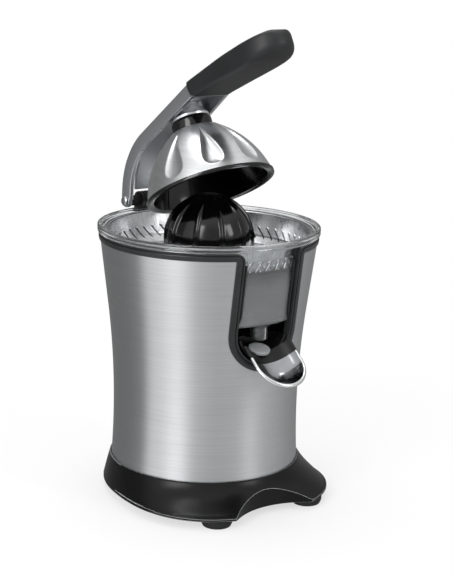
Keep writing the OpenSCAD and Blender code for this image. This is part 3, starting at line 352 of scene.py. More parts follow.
# Die-cast aluminium, blasted and clear-coated: satin grey with a fine peened grain.
cast_aluminium = metal("cast_aluminium", "#B2B4B7", "#C4C6C9", (0.34, 0.42), (0.8, 0.8, 0.8), 0.02)
# Machined aluminium of the boss: lighter and smoother than the arm. It also runs along the arm's open
# edges as a painted highlight line.
turned_and_highlight_aluminium = metal("turned_and_highlight_aluminium", "#D2D4D6", "#E0E2E4", (0.22, 0.3), (6, 6, 0.5), 0.004)
# Sheet steel of the motor: duller, zinc plated.
plated_steel = metal("zinc_plated_steel", "#8F9296", "#AEB1B4", (0.3, 0.45), (9, 9, 9), 0.01)
# Bronze of the bushes.
bronze = metal("sintered_bronze", "#8A6038", "#A87848", (0.35, 0.5), (0.5, 0.5, 0.5), 0.02)
# Enamelled copper wire.
copper = metal("enamelled_copper", "#8E4A22", "#B5653A", (0.25, 0.35), (12, 12, 0.6), 0.05)
# Glossy injection-moulded ABS of the reamer and collar: deep black under a clear gloss.
gloss_black = plastic("gloss_black_abs", "#040405", "#070708", (0.12, 0.17), 9, 0.01)
# Satin ABS of the base: spark-eroded tool texture.
satin_black = plastic("satin_black_abs", "#050506", "#080809", (0.22, 0.28), 0.5, 0.01,
                      **{"Specular IOR Level": 0.25})
# The base's rounded edges, painted light grey: a painted highlight, so they show as a thin bright line.
base_highlight_edge = plastic("black_base_painted_highlight", "#B0B3B5", "#C8CBCD", (0.2, 0.28), 3, 0.005)
# Charcoal ABS of the band and window frame.
charcoal_trim = plastic("charcoal_abs", "#202122", "#282A2B", (0.26, 0.34), 0.6, 0.008,
                        **{"Specular IOR Level": 0.4})
# Soft-touch elastomer of the grip: matt with a slight sheen.
soft_touch = plastic("soft_touch_elastomer", "#191A1B", "#212224", (0.42, 0.5), 0.7, 0.02,
                     **{"Specular IOR Level": 0.4})
# Black polypropylene of the inner body.
inner_black = plastic("black_polypropylene", "#060607", "#0A0A0B", (0.3, 0.4), 0.8, 0.02,
                      **{"Specular IOR Level": 0.35})
# Moulded rubber of the feet.
foot_rubber = plastic("moulded_rubber", "#09090A", "#121213", (0.6, 0.75), 0.9, 0.04)
# Translucent silicone of the seal pad.
pad_silicone = plastic("seal_silicone", "#9EA1A2", "#ABAEAF", (0.42, 0.5), 0.8, 0.02,
                       **{"Subsurface Weight": 0.15, "Subsurface Scale": 0.003})
# Natural acetal and nylon of gears and spacers.
natural_nylon = plastic("natural_nylon", "#D8D3C4", "#E6E1D2", (0.35, 0.45), 1.0, 0.02)
grey_nylon = plastic("glass_filled_nylon", "#3C3D40", "#4A4B4E", (0.45, 0.55), 0.7, 0.03)
carbon = plastic("sintered_carbon", "#161617", "#232325", (0.5, 0.6), 0.5, 0.03)
board_green = plastic("solder_mask", "#0E4A2C", "#135A37", (0.25, 0.35), 2.0, 0.01)
lead_red = plastic("red_lead_sleeve", "#9C1C18", "#B3261F", (0.35, 0.45), 1.5, 0.02)
lead_blue = plastic("blue_lead_sleeve", "#1D3A7A", "#25478F", (0.35, 0.45), 1.5, 0.02)
plunger_red = plastic("red_acetal", "#A3201C", "#B82A24", (0.3, 0.4), 1.0, 0.01)


def clear_plastic(name, colour, haze_colour, haze, frost_foot, frost_top, rough=0.03):
    """Smoked SAN: a clear moulding whose wall is frosted between two heights."""
    mat, tree, glass, where = surface(name, colour, rough, IOR=1.52, **{"Transmission Weight": 1.0})
    flow = grain(tree, where, (30, 30, 14), 1.5)
    haze_shader = add(tree, "ShaderNodeBsdfPrincipled",
                      {"Base Color": paint(haze_colour), "Roughness": 0.25})
    height = add(tree, "ShaderNodeSeparateXYZ", links={0: where}).outputs[2]
    below = ranged(tree, height, haze[1], haze[0], frost_top[0] * MM, frost_top[1] * MM)
    above = ranged(tree, height, haze[0], haze[1], frost_foot[0] * MM, frost_foot[1] * MM)
    frosted = add(tree, "ShaderNodeMath", links={0: below, 1: above}, operation="MINIMUM").outputs[0]
    part = add(tree, "ShaderNodeMath", links={0: frosted, 1: ranged(tree, flow, 0.85, 1.15, 0.3, 0.7)},
               operation="MULTIPLY").outputs[0]
    mix = add(tree, "ShaderNodeMixShader",
              links={0: part, 1: glass.outputs[0], 2: haze_shader.outputs[0]})
    out = next(n for n in tree.nodes if n.bl_idname == "ShaderNodeOutputMaterial")
    tree.links.new(mix.outputs[0], out.inputs[0])
    bumped(tree, glass, flow, 0.05)
    return mat


clear_san = clear_plastic("smoked_san", "#E6E8E9", "#8D8F90", (0.05, 0.5), (156, 160), (190, 206))

# ---- steel body ----


def side_line(z0, z1, outset, count):
    """Points (radius, height) up the steel side, pushed out by outset."""
    return [(body_r(z) + outset, z) for z in (z0 + (z1 - z0) * i / count for i in range(count + 1))]


def arch_outline(half, top, steps=40):
    """The window's outline (x, z): a half circle below and straight sides."""
    ends = [(half * math.cos(a), WINDOW_Z + half * math.sin(a))
            for a in (math.pi + math.pi * i / steps for i in range(steps + 1))]
    return ends + [(half, top), (-half, top)]


shell = side_line(SHELL_Z0, SHELL_Z1, 0, 47)
body_shell = made_object("steel_body", spun(shell + [(r - 1, z) for r, z in reversed(shell)], True, 180))
cut(body_shell, prism(arch_outline(WINDOW_HALF + FRAME_W / 2 + 0.5, SHELL_Z1 + 3), -40, -120))
dressed(body_shell, brushed_steel, "housing", "body_steel", "body_shell")

# ---- band and window frame: one moulding swept round the body and down round the window ----

# (distance from the edge next to the window as a part of the width, height above the steel, rounding)
TRIM_SECTION = rounded([
    (0.0, -5.5), (0.0, 0.8, 0.5), (0.19, 0.8, 0.5), (0.22, -0.3, 0.1), (0.31, -0.3, 0.1),
    (0.34, 1.2, 0.4), (0.97, 1.2, 0.6), (1.0, -0.4), (0.5, -0.4), (0.45, -5.5),
], closed=True, steps=3)


def trim_ring(at, away, width, flat):
    """One section of the moulding: at is its window edge, away points to the steel."""
    points = []
    for across, high in TRIM_SECTION:
        u, z = at[0] + away[0] * width * across, at[1] + away[1] * width * across
        angle = math.asin(u / body_r(z)) if flat else u
        r = body_r(z) + high
        points.append((r * math.sin(angle), -r * math.cos(angle), z))
    return points


def trim_half():
    """Sections from the rear, round the left, to the bottom of the window."""
    corner, band_w = 8, BAND_Z1 - SHELL_Z1
    x0 = -WINDOW_HALF - corner
    stop = math.asin(x0 / body_r(BAND_Z1))
    rows = [trim_ring((-math.pi + (math.pi + stop) * i / 56, BAND_Z1), (0, -1), band_w, False)
            for i in range(56)]
    for i in range(13):
        a = math.pi / 2 * (1 - i / 12)
        way = (math.cos(a), math.sin(a))
        at = (x0 + corner * way[0], BAND_Z1 - corner + corner * way[1])
        rows.append(trim_ring(at, (-way[0], -way[1]), band_w + (FRAME_W - band_w) * i / 12, True))
    for i in range(1, 15):
        z = BAND_Z1 - corner + (WINDOW_Z - BAND_Z1 + corner) * i / 15
        rows.append(trim_ring((-WINDOW_HALF, z), (-1, 0), FRAME_W, True))
    for i in range(0, 25):
        a = math.pi + math.pi / 2 * i / 24
        way = (math.cos(a), math.sin(a))
        at = (WINDOW_HALF * way[0], WINDOW_Z + WINDOW_HALF * way[1])
        rows.append(trim_ring(at, way, FRAME_W, True))
    return rows


left_rows = trim_half()
right_rows = [[(-x, y, z) for x, y, z in row] for row in reversed(left_rows[1:-1])]
trim = made_object("band_and_window_frame", swept(left_rows + right_rows, loop=True), 30)
dressed(trim, charcoal_trim, "housing", "trim_plastic", "trim_bezel")

# (part of the lip's width, height above the steel): a thin recessed lip with a ridge inside the window
LIP_SECTION = rounded([
    (-0.05, -3.3), (-0.05, -2.3), (0.5, -2.3, 0.1), (0.6, -1.3, 0.1), (0.95, -1.3, 0.2), (1, -3.3),
], closed=True, steps=3)
LIP_W = 3.3


def window_lip():
    """One straight side of it, from under the band down to the arch, where it runs out."""
    rows = []
    for i in range(25):
        z = SHELL_Z1 - 4 - (SHELL_Z1 - 4 - WINDOW_Z - 2) * i / 24
        width = LIP_W * (0.08 + 0.92 * smoothstep(z, WINDOW_Z + 2, WINDOW_Z + 16))
        row = []
        for across, high in LIP_SECTION:
            x, r = -WINDOW_HALF + width * across, body_r(z) + high
            row.append((x, -math.sqrt(r * r - x * x), z))
        rows.append(row)
    return swept(rows)


lips = made_object("window_lips", merged(mirrored(window_lip()), window_lip()), 30)
dressed(lips, charcoal_trim, "housing", "trim_plastic")

# ---- clear juice collector ----

BOWL_Z0, BOWL_GAP, BOWL_WALL = 158, 3.7, 2
AT_NOZZLE = Matrix.Translation((0, -71.5, 0))
seat_r = body_r(BAND_Z1) - BOWL_GAP - BOWL_WALL + 1.5
collector_line = rounded(
    [(13, BOWL_Z0), (body_r(BOWL_Z0) - BOWL_GAP, BOWL_Z0, 1.5)]
    + side_line(BOWL_Z0 + 3, BAND_Z1 - 1, -BOWL_GAP, 12)
    + [(body_r(BAND_Z1) - BOWL_GAP, BAND_Z1 + 0.3, 0.4), (RIM_R - 0.4, BAND_Z1 + 0.3, 0.8),
       (RIM_R, BAND_Z1 + 2, 0.5), (RIM_R - 0.5, BAND_Z1 + 2.9, 0.4), (RIM_R, BAND_Z1 + 3.8, 0.5),
       (RIM_R, RIM_Z1, 1.5), (RIM_R - 2.6, RIM_Z1 - 0.5, 0.5), (RIM_R - 3, RIM_Z1 - 1.1, 0.3),
       (seat_r + 0.3, RIM_Z1 - 2.6, 0.6), (seat_r, 223.4, 0.3), (seat_r - 2.4, 223.4, 0.3)]
    + [(r, z) for r, z in reversed(side_line(BOWL_Z0 + 4, BAND_Z1 - 1, -BOWL_GAP - BOWL_WALL, 12))]
    + [(body_r(BOWL_Z0) - BOWL_GAP - BOWL_WALL, BOWL_Z0 + 2, 1.5), (11.5, BOWL_Z0 + 2, 1),
       (11.5, 194, 0.5), (9.5, 194, 0.3), (9.5, BOWL_Z0)], closed=True, steps=3)
nozzle_line = rounded([(7.3, 146, 0.5), (7.3, 156, 0.5), (9, 157.9), (5, 157.9), (5, 146, 0.4)],
                      closed=True)
nozzle = placed(spun(nozzle_line, True, 64), AT_NOZZLE)
collector = made_object("juice_collector", merged(spun(collector_line, True, 180), nozzle), 50)
dressed(collector, clear_san, "housing", "clear_plastic", "juice_bowl")

# ---- steel sieve ----

sieve_line = rounded([
    (seat_r - 0.4, 225.2), (seat_r - 0.4, 223.9, 0.8), (seat_r - 3, 223.9, 0.8), (80, 204.5, 5),
    (74, 199, 5), (60, 194.8, 12), (45, 192.8, 12), (30, 194.2, 8), (16, 196.3, 4), (7.6, 196.3),
], steps=6)
sieve_bm = spun(sieve_line, False, 180)
bmesh.ops.solidify(sieve_bm, geom=sieve_bm.faces[:], thickness=0.8)
bmesh.ops.recalc_face_normals(sieve_bm, faces=sieve_bm.faces)
sieve = made_object("sieve_pan", sieve_bm, 40)

WALL_SLOTS, SLOT_Z, SLOT_LEAN = 56, 208, 42
FLOOR_SLOTS, FLOOR_SKEW = 24, 42


def slot_cutters():
    """Bars and pegs that pierce the pan: slanting slots at its wall's foot, a swirl on its floor."""
    bars = []
    for i in range(WALL_SLOTS):
        bar = block((-0.6, -5, -6.5), (0.6, 5, 6.5), 0.4, 1)
        place = turn(i * 360 / WALL_SLOTS, "Z") @ Matrix.Translation((0, -80.5, SLOT_Z))
        bars.append(placed(bar, place @ turn(SLOT_LEAN, "Y")))
        for r, z, shift in ((72, 198, 2.6), (66, 196, 6.6)):
            peg = bmesh.new()
            bmesh.ops.create_cone(peg, segments=10, radius1=0.9, radius2=0.9, depth=8, cap_ends=True)
            place = turn((i + shift / 10) * 360 / WALL_SLOTS, "Z") @ Matrix.Translation((0, -r, z))
            bars.append(placed(peg, place @ turn(20, "X")))
    for i in range(FLOOR_SLOTS):
        bar = block((-0.9, -10, -6), (0.9, 10, 6), 0.5, 1)
        place = turn(i * 360 / FLOOR_SLOTS, "Z") @ Matrix.Translation((0, -55, 193))
        bars.append(placed(bar, place @ turn(FLOOR_SKEW, "Z")))
    return merged(*bars)


cut(sieve, slot_cutters(), 40)
dressed(sieve, sieve_steel, "housing", "sieve_steel", "sieve")


def pips():
    """What is pressed out of the sieve's wall: a raised edge along each slot, and pips between them."""
    parts = []
    for i in range(WALL_SLOTS):
        edge = block((-0.7, -0.6, -6.4), (0.7, 0.6, 6.4), 0.4, 1)
        spin = turn(i * 360 / WALL_SLOTS, "Z")
        place = spin @ Matrix.Translation((-0.95, -81.7, SLOT_Z + 0.6))
        parts.append(placed(edge, place @ turn(SLOT_LEAN, "Y") @ turn(-13, "X")))
        for along in (-5.2, 0, 5.2):
            ball = bmesh.new()
            bmesh.ops.create_uvsphere(ball, u_segments=8, v_segments=5, radius=1.15)
            x, z = 4.4 + along * 0.67, along * 0.74
            r = 81.2 + z * 0.21
            place = spin @ turn(math.degrees(x / r), "Z") @ Matrix.Translation((0, -r, SLOT_Z + z))
            parts.append(placed(ball, place))
    return merged(*parts)


# The pips and slot edges in the lighter steel: painted highlights that make them show.
dressed(made_object("sieve_pips", pips(), 60), highlight_steel, "housing", "sieve_steel")

# ---- reamer ----

REAMER_R, REAMER_Z0, REAMER_CROWN_Z, REAMER_TIP_Z = 37.5, 203, 216, 253.5
RIBS, RIB_HALF, FLUTE_DEPTH = 10, 1.35, 2.4


def reamer_shape():
    """The cone: a rounded solid pressed in between its sharp ribs, hollow below, with a small tip."""
    outer = [(REAMER_R - 0.6, REAMER_Z0), (REAMER_R - 0.2, REAMER_Z0 + 0.8)]
    outer += [(REAMER_R - 0.2 + 0.2 * t / 5, REAMER_Z0 + 1 + 12 * t / 5) for t in range(1, 6)]
    top = REAMER_TIP_Z - REAMER_CROWN_Z
    outer += [(REAMER_R * math.cos(a), REAMER_CROWN_Z + top * math.sin(a))
              for a in (math.radians(3 + 87 * i / 30) for i in range(31))]
    bm = spun(outer[:-1] + [(0, REAMER_TIP_Z)], False, 360)
    for v in bm.verts:
        r = math.hypot(v.co.x, v.co.y)
        if r < 1e-3:
            continue
        sector = 2 * math.pi / RIBS
        off = (math.atan2(v.co.y, v.co.x) + sector / 2) % sector - sector / 2
        across = abs(off) * r
        rib = math.exp(-(across / RIB_HALF) ** 2) + 0.1 * math.exp(-(across / 4.5) ** 2)
        lobe = math.cos(off * RIBS)
        fade = smoothstep(r, 2, 14)
        inward = (FLUTE_DEPTH * (1 - rib) - 0.35 * (1 - lobe) * 0.5) * fade
        scale = (r - inward) / r
        v.co.x, v.co.y = v.co.x * scale, v.co.y * scale
        v.co.z -= inward * 0.45 * smoothstep(v.co.z, REAMER_CROWN_Z, REAMER_TIP_Z - 6)
    tip_line = rounded([(0, REAMER_TIP_Z + 0.3), (2.2, REAMER_TIP_Z - 0.4, 0.8),
                        (4.5, REAMER_TIP_Z - 5, 1), (0, REAMER_TIP_Z - 5)])
    tip = spun(tip_line, False, 32)
    bottom = [e for e in bm.edges if e.is_boundary]
    down = bmesh.ops.extrude_edge_only(bm, edges=bottom)["geom"]
    inner = of_kind(down, bmesh.types.BMVert)
    bmesh.ops.scale(bm, vec=(0.9, 0.9, 1), verts=inner)
    rim = [e for e in of_kind(down, bmesh.types.BMEdge) if all(v in inner for v in e.verts)]
    up = bmesh.ops.extrude_edge_only(bm, edges=rim)["geom"]
    upper = of_kind(up, bmesh.types.BMVert)
    bmesh.ops.translate(bm, vec=(0, 0, 12), verts=upper)
    rim = [e for e in of_kind(up, bmesh.types.BMEdge) if all(v in upper for v in e.verts)]
    bmesh.ops.contextual_create(bm, geom=rim)
    bmesh.ops.recalc_face_normals(bm, faces=bm.faces)
    return merged(bm, tip)


reamer = made_object("reamer_cone", reamer_shape(), 50)
dressed(reamer, gloss_black, "spindle", "reamer_plastic", "reamer")

# ---- press dome ----


# The dome's side is an arc, whose centre lies past the axis and below the rim.
ARC_R, ARC_PAST, ARC_BELOW = 80, 25, 13.7


def dome_r(h, inset=0.0):
    """Radius of the dome at a height above its rim, at a depth below its outside."""
    return -ARC_PAST + math.sqrt((ARC_R - inset) ** 2 - (h + ARC_BELOW) ** 2)


LIP_H, COLLAR_H0, COLLAR_H1 = 3, 52.5, 61
DENTS, DENT_H0, DENT_H1, DENT_HALF_W, DENT_DEPTH, DENT_TURN = 9, 7.2, 46.5, 13, 3.0, 26


def dented_dome():
    """The pressed steel cap with its drop-shaped dents, each pointed at the top."""
    pitch = 360 / DENTS
    side = [(dome_r(h), h) for h in (LIP_H + 1 + (COLLAR_H0 - LIP_H - 4) * i / 66 for i in range(1, 67))]
    line = rounded([(dome_r(LIP_H) - 0.9, LIP_H + 0.1), (dome_r(LIP_H) + 0.15, LIP_H + 0.1, 0.35),
                    (dome_r(LIP_H + 1), LIP_H + 1, 0.3)]
                   + side + [(dome_r(COLLAR_H0) + 0.6, COLLAR_H0, 2.2), (8, COLLAR_H0)], steps=4)
    bm = spun(line, False, 360)
    for v in bm.verts:
        r, h = math.hypot(v.co.x, v.co.y), v.co.z
        t = (DENT_H1 - h) / (DENT_H1 - DENT_H0)
        if not 0 < t < 1:
            continue
        around = math.degrees(math.atan2(v.co.x, -v.co.y)) + DENT_TURN
        off = (around + pitch / 2) % pitch - pitch / 2
        across = abs(math.radians(off)) * r
        half = DENT_HALF_W * t ** 1.1 * math.sqrt(1 - t ** 6)
        if across < half:
            hollow = 1 - (across / half) ** 2
            depth = DENT_DEPTH * t ** 0.6 * (1 - t ** 8) * (1 - (1 - hollow) ** 1.25)
            out = (Vector((v.co.x, v.co.y, 0)).normalized() * (r + ARC_PAST) / ARC_R
                   + Vector((0, 0, (h + ARC_BELOW) / ARC_R)))
            v.co -= out * depth
    bmesh.ops.solidify(bm, geom=bm.faces[:], thickness=0.8)
    bmesh.ops.recalc_face_normals(bm, faces=bm.faces)
    return bm


dome = made_object("press_dome", placed(dented_dome(), DOME_AXIS), 50)
dressed(dome, pressed_steel, "dome", "press_steel", "dome_shell")


def dome_inside():
    """The black liner: a rounded lip under the steel, a smooth inside and twelve thin ribs."""
    outer = [(dome_r(h, 4), h) for h in (LIP_H + 1 + (50 - LIP_H - 1) * i / 16 for i in range(17))]
    inner = [(dome_r(h, 4.8), h) for h in (1 + 46.5 * i / 16 for i in range(17))]
    line = rounded([(54.5, 0.2, 0.7), (54.5, LIP_H - 0.1, 0.3), (52.5, LIP_H + 0.05)] + outer
                   + [(0, 50.4), (0, 49.0)] + inner[::-1] + [(50, 0.6, 0.5), (52.2, 0.0, 0.6)], True, 3)
    parts = [spun(line, True, 144)]
    for i in range(12):
        outline = [(dome_r(h, 4.6), h) for h in (2 + 42 * k / 14 for k in range(15))]
        outline += [(dome_r(h, 5.5), h) for h in (42 - 40 * k / 14 for k in range(15))]
        parts.append(placed(prism(outline, -0.6, 0.6), turn(30 * i + 15, "Z")))
    return merged(*parts)


liner = made_object("dome_liner_black", placed(dome_inside(), DOME_AXIS), 40)
dressed(liner, gloss_black, "dome", "trim_plastic", "dome_liner")

collar_line = rounded([
    (3, COLLAR_H0 - 2), (15.5, COLLAR_H0 - 2), (15.5, COLLAR_H0 + 0.1), (17, COLLAR_H0 + 0.1, 0.4),
    (17, COLLAR_H1 - 0.2, 0.9), (15.8, COLLAR_H1, 0.6), (12, COLLAR_H1), (8, COLLAR_H1 + 0.6, 0.5),
    (4, COLLAR_H1 + 3), (3, COLLAR_H1 + 3),
], closed=True)
collar = made_object("dome_collar_black", placed(spun(collar_line, True, 96), DOME_AXIS), 35)
dressed(collar, gloss_black, "dome", "reamer_plastic", "dome_collar")

# ---- arm: a cast channel swept along a bent line, drawn closed and turned up about the hinge ----

ARM_W, ARM_D0, ARM_D1, ARM_LEAN, ARM_ROOT = 24, 14, 12, 30, 9
BEND_R, BEND_A, ARM_L = 61, 52.5, 80
ROOT_A = 90 + ARM_LEAN
ARC_L = BEND_R * math.radians(BEND_A)
ARM_S1 = ARM_ROOT + ARC_L + ARM_L
FORK_S, WEB_S, WEB_W, ARM_WALL, ARM_SKIN = 34, 8.5, 11, 4, 3


def arm_at(s):
    """Place on the arm's middle line, and the line's angle, in the YZ plane."""
    lean = math.radians(ROOT_A + BEND_A * min(1, max(0, (s - ARM_ROOT) / ARC_L)))
    start = Vector((HINGE.y, HINGE.z))
    root = Vector((math.cos(math.radians(ROOT_A)), math.sin(math.radians(ROOT_A))))
    if s < ARM_ROOT:
        return start + s * root, lean
    centre = start + ARM_ROOT * root + BEND_R * Vector((-root.y, root.x))
    place = centre + BEND_R * Vector((math.sin(lean), -math.cos(lean)))
    if s > ARM_ROOT + ARC_L:
        place += (s - ARM_ROOT - ARC_L) * Vector((math.cos(lean), math.sin(lean)))
    return place, lean


ARM_END = arm_at(ARM_S1)[0]


def arm_depth(s):
    """Depth of the arm, from its outside to its open side."""
    return ARM_D0 + (ARM_D1 - ARM_D0) * min(1, max(0, s / (ARM_ROOT + ARC_L)))


def arm_half_w(y):
    """Half width of the arm, which narrows towards the grip."""
    return ARM_W - 5 * (HINGE.y - y) / (HINGE.y - ARM_END.x)


def arm_run(outline, s0, s1, count):
    """Sweeps outline(half width, half depth), points (x, towards the outside), from s0 to s1."""
    rows = []
    for i in range(count + 1):
        s = s0 + (s1 - s0) * i / count
        place, lean = arm_at(s)
        out = Vector((math.sin(lean), -math.cos(lean)))
        row = []
        for x, high in outline(arm_half_w(place.x), arm_depth(s) / 2):
            p = place + out * high
            row.append((x, p.x, p.y))
        rows.append(row)
    return swept(rows)


def channel(w, d):
    """Section of the arm: a U that is open on the inner side."""
    return rounded([(-w, -d, 0.9), (-w, d, 2.2), (w, d, 2.2), (w, -d, 0.9), (w - ARM_WALL, -d, 0.7),
                    (w - ARM_WALL - 0.6, d - ARM_SKIN, 1.5), (ARM_WALL + 0.6 - w, d - ARM_SKIN, 1.5),
                    (ARM_WALL - w, -d, 0.7)], closed=True)


def cheek(w, d):
    """Section of one side of the fork at the hinge."""
    inner = ARM_WALL - w
    return rounded([(-w, -d, 0.9), (-w, d, 2.2), (inner, d, 0.7), (inner, -d, 0.7)], closed=True)


def web(w, d):
    """Section of the narrow web between the fork's sides."""
    inner = d - ARM_SKIN
    return rounded([(-WEB_W, d, 1.2), (WEB_W, d, 1.2), (WEB_W, inner, 1), (-WEB_W, inner, 1)],
                   closed=True)


def ear():
    """Round end of a cheek about the hinge."""
    disc_line = rounded([(2.7, 20.2), (5.5, 20.2, 0.7), (5.5, 24, 0.9), (2.7, 24)], closed=True)
    return placed(spun(disc_line, True, 48), Matrix.Translation(HINGE) @ turn(-90, "Y"))


def end_wall(w, d):
    """Full section, which closes the channel at the grip."""
    return rounded([(-w, -d, 0.9), (-w, d, 2.2), (w, d, 2.2), (w, -d, 0.9)], closed=True)


def edge_highlight_section(w, d):
    """Section of a lighter strip along the channel's open edge: a painted highlight line."""
    return rounded([(-w + 0.5, -d - 0.12, 0.3), (-w + 0.5, -d + 0.4), (ARM_WALL - w - 0.5, -d + 0.4),
                    (ARM_WALL - w - 0.5, -d - 0.12, 0.3)], closed=True)


left_cheek = arm_run(cheek, 2, FORK_S + 0.5, 14)
arm_bm = merged(arm_run(channel, FORK_S, ARM_S1, 56), mirrored(left_cheek), left_cheek,
                arm_run(web, WEB_S, FORK_S + 0.5, 10), arm_run(end_wall, ARM_S1 - 4, ARM_S1 - 0.1, 2),
                mirrored(ear()), ear())
arm = made_object("cast_arm", placed(arm_bm, OPENED), 38)
dressed(arm, cast_aluminium, "arm", "arm_aluminium", "arm_casting")
# A lighter strip along each open edge of the arm: a painted highlight line.
left_edge_highlight = arm_run(edge_highlight_section, 5, ARM_S1 - 0.5, 64)
edge_highlights = made_object("arm_painted_highlight_edges", placed(merged(mirrored(left_edge_highlight), left_edge_highlight), OPENED), 38)
dressed(edge_highlights, turned_and_highlight_aluminium, "arm", "arm_aluminium")

# ---- grip ----


def between(y, knots):
    """Value at y on a line through (y, value) knots, level beyond its ends."""
    y = min(max(y, knots[0][0]), knots[-1][0])
    for (y0, a), (y1, b) in zip(knots, knots[1:]):
        if y <= y1:
            break
    return a + (b - a) * (y - y0) / (y1 - y0)


def eased(y, knots):
    """The same line with its corners evened out."""
    return sum(between(y + k, knots) for k in (-8, -4, 0, 4, 8)) / 5


GRIP_L, GRIP_HALF_W = 106.2, 21.7
# Distances from the arm's end at which the grip's outline and its tip begin to round.
ROUND_FROM, BLUNT_FROM = 62.3, 101.1
# (distance from the arm's end, height above the arm's middle) along its upper and lower side
GRIP_TOP = [(-1, 6.5), (50, 5.0), (75, 2.9), (92, 1.6), (107, 2.1)]
GRIP_LOW = [(-1, -6.5), (28, -10.0), (55, -13.2), (78, -15.6), (95, -16.2), (107, -11.9)]


def grip_shape():
    """A flat paddle with a round end: a soft edge on top, a full one below, drooping towards its tip."""
    rows = []
    count = 44
    for i in range(count + 1):
        y = GRIP_L * math.sin(i / count * math.pi / 2) - 0.5
        tail = max(0.0, (y - ROUND_FROM) / (GRIP_L - ROUND_FROM))
        w = GRIP_HALF_W * max(0.0001, 1 - tail ** 3.7) ** 0.6
        top, low = eased(y, GRIP_TOP), eased(y, GRIP_LOW)
        end = math.sqrt(max(0.01, 1 - max(0.0, (y - BLUNT_FROM) / 5.0) ** 2))
        thick, drop = (top - low) / 2 * end, (top + low) / 2
        outline = [(-w, -thick, 8), (-w, thick, 3.6), (w, thick, 3.6), (w, -thick, 8)]
        row = []
        for x, z in rounded(outline, True, 8):
            belly = 0.7 * (1 - (x / w) ** 2) * (1 if z < 0 else -1)
            row.append((x, ARM_END.x - y, ARM_END.y + drop + z - belly))
        rows.append(row)
    return swept(rows)


grip = made_object("soft_grip", placed(grip_shape(), OPENED), 60)
dressed(grip, soft_touch, "arm", "grip_soft", "grip")

# ---- boss between arm and dome ----

BOSS_TOP, BOSS_RIBS = 74.9, (35, 60, 85, 110, 135)
boss_line = rounded([(5.2, 62.5), (15.9, 62.5, 0.6), (16.4, 64.5, 1.2), (14.6, 68.0, 4), (11.4, 71.5, 3),
                     (10.8, BOSS_TOP), (5.2, BOSS_TOP)], closed=True, steps=6)
boss_parts = [spun(boss_line, True, 96)]
for angle in BOSS_RIBS:
    boss_parts.append(placed(block((-1.3, -13.4, 65), (1.3, -9.5, BOSS_TOP), 0.7), turn(angle, "Z")))
boss = made_object("dome_boss_cast", placed(merged(*boss_parts), DOME_AXIS), 35)
dressed(boss, turned_and_highlight_aluminium, "arm", "arm_aluminium", "dome_boss")

# ---- base ----

# (degrees from the front, reach of the foot's edge from the axis)
TOE_KNOTS = [(0, 106), (24, 109), (44, 108), (62, 99.5), (84, 88.4), (104, 86), (180, 86)]
BITE_Y, BITE_R = 87.2, 64
LEDGE_H = 3.2
FRONT_FOOT_D, FRONT_FOOT_A, REAR_FOOT = 95.5, math.radians(29), (46, 58)


def knot_reach(degrees):
    """Reach at an angle from the front, straight between the knots."""
    a = abs((degrees + 180) % 360 - 180)
    (a0, r0), (a1, r1) = next(pair for pair in zip(TOE_KNOTS, TOE_KNOTS[1:]) if a <= pair[1][0])
    return r0 + (r1 - r0) * (a - a0) / (a1 - a0)


def base_reach(degrees):
    """Reach of the base's lower edge, with the corners at the knots evened out."""
    return sum(knot_reach(degrees + k) for k in range(-12, 13, 2)) / 13


def base_outline(part, z):
    """Part 0 is the lower edge and 1 the ring under the steel."""
    top_r = body_r(SHELL_Z0) + 1.4
    row = []
    for i in range(240):
        a = i * 1.5
        low = base_reach(a)
        toe = smoothstep(low, 87, 107)
        share = part + toe * 0.16 * math.sin(math.pi * part)
        r = low + (top_r - low) * share
        row.append((r * math.sin(math.radians(a)), -r * math.cos(math.radians(a)), z))
    return row


def base_shape():
    """The moulding: a thin ledge at its foot, then the flare up to the ring under the steel."""
    foot = [(0.12, 0), (0.02, 0.3), (0, 0.9), (0, 2.5), (0.012, 2.9), (0.05, 3.1)]
    rows = [base_outline(part, BASE_Z0 + high) for part, high in foot]
    count = 18
    for i in range(1, count + 1):
        t = i / count
        z = BASE_Z0 + LEDGE_H + (BASE_Z1 - 0.4 - BASE_Z0 - LEDGE_H) * t ** 0.92
        rows.append(base_outline(0.05 + 0.95 * t, z))
    rows.append([(x * 0.992, y * 0.992, BASE_Z1) for x, y, z in rows[-1]])
    rows.append([(x * 0.985, y * 0.985, BASE_Z1 - 0.1) for x, y, z in rows[-2]])
    rows.append([(x * 0.985, y * 0.985, SHELL_Z0 - 2) for x, y, z in rows[-3]])
    return swept(rows)


base = made_object("base_moulding", base_shape(), 40)
bite = bmesh.new()
bmesh.ops.create_cone(bite, segments=160, radius1=BITE_R, radius2=BITE_R, depth=80, cap_ends=True)
cut(base, placed(bite, Matrix.Translation((0, -BITE_Y - BITE_R, 0))), 30)
edge_round = base.modifiers.new("edge_round", "BEVEL")
edge_round.width, edge_round.segments, edge_round.limit_method = 1.3 * MM, 3, "ANGLE"
edge_round.angle_limit = math.radians(40)
# The bevel's faces take the second material, the base's painted highlight.
edge_round.material = 1
dressed(base, satin_black, "housing", "base_plastic", "base_housing")
base.data.materials.append(base_highlight_edge)

foot_line = rounded([(0, 0), (11.4, 0, 1.2), (12.8, 3.2, 1), (13, 6.4), (0, 6.4)])
feet_at = [(FRONT_FOOT_D * math.sin(FRONT_FOOT_A), -FRONT_FOOT_D * math.cos(FRONT_FOOT_A)), REAR_FOOT]
feet = [placed(spun(foot_line, False, 64), Matrix.Translation((s * x, y, 0)))
        for x, y in feet_at for s in (-1, 1)]
feet.append(spun(foot_line, False, 64))
rubber = made_object("rubber_feet_moulded", merged(*feet), 40)
dressed(rubber, foot_rubber, "housing", "foot_rubber", "rubber_feet")

# ---- spout: a polished trough with a rolled lip ----

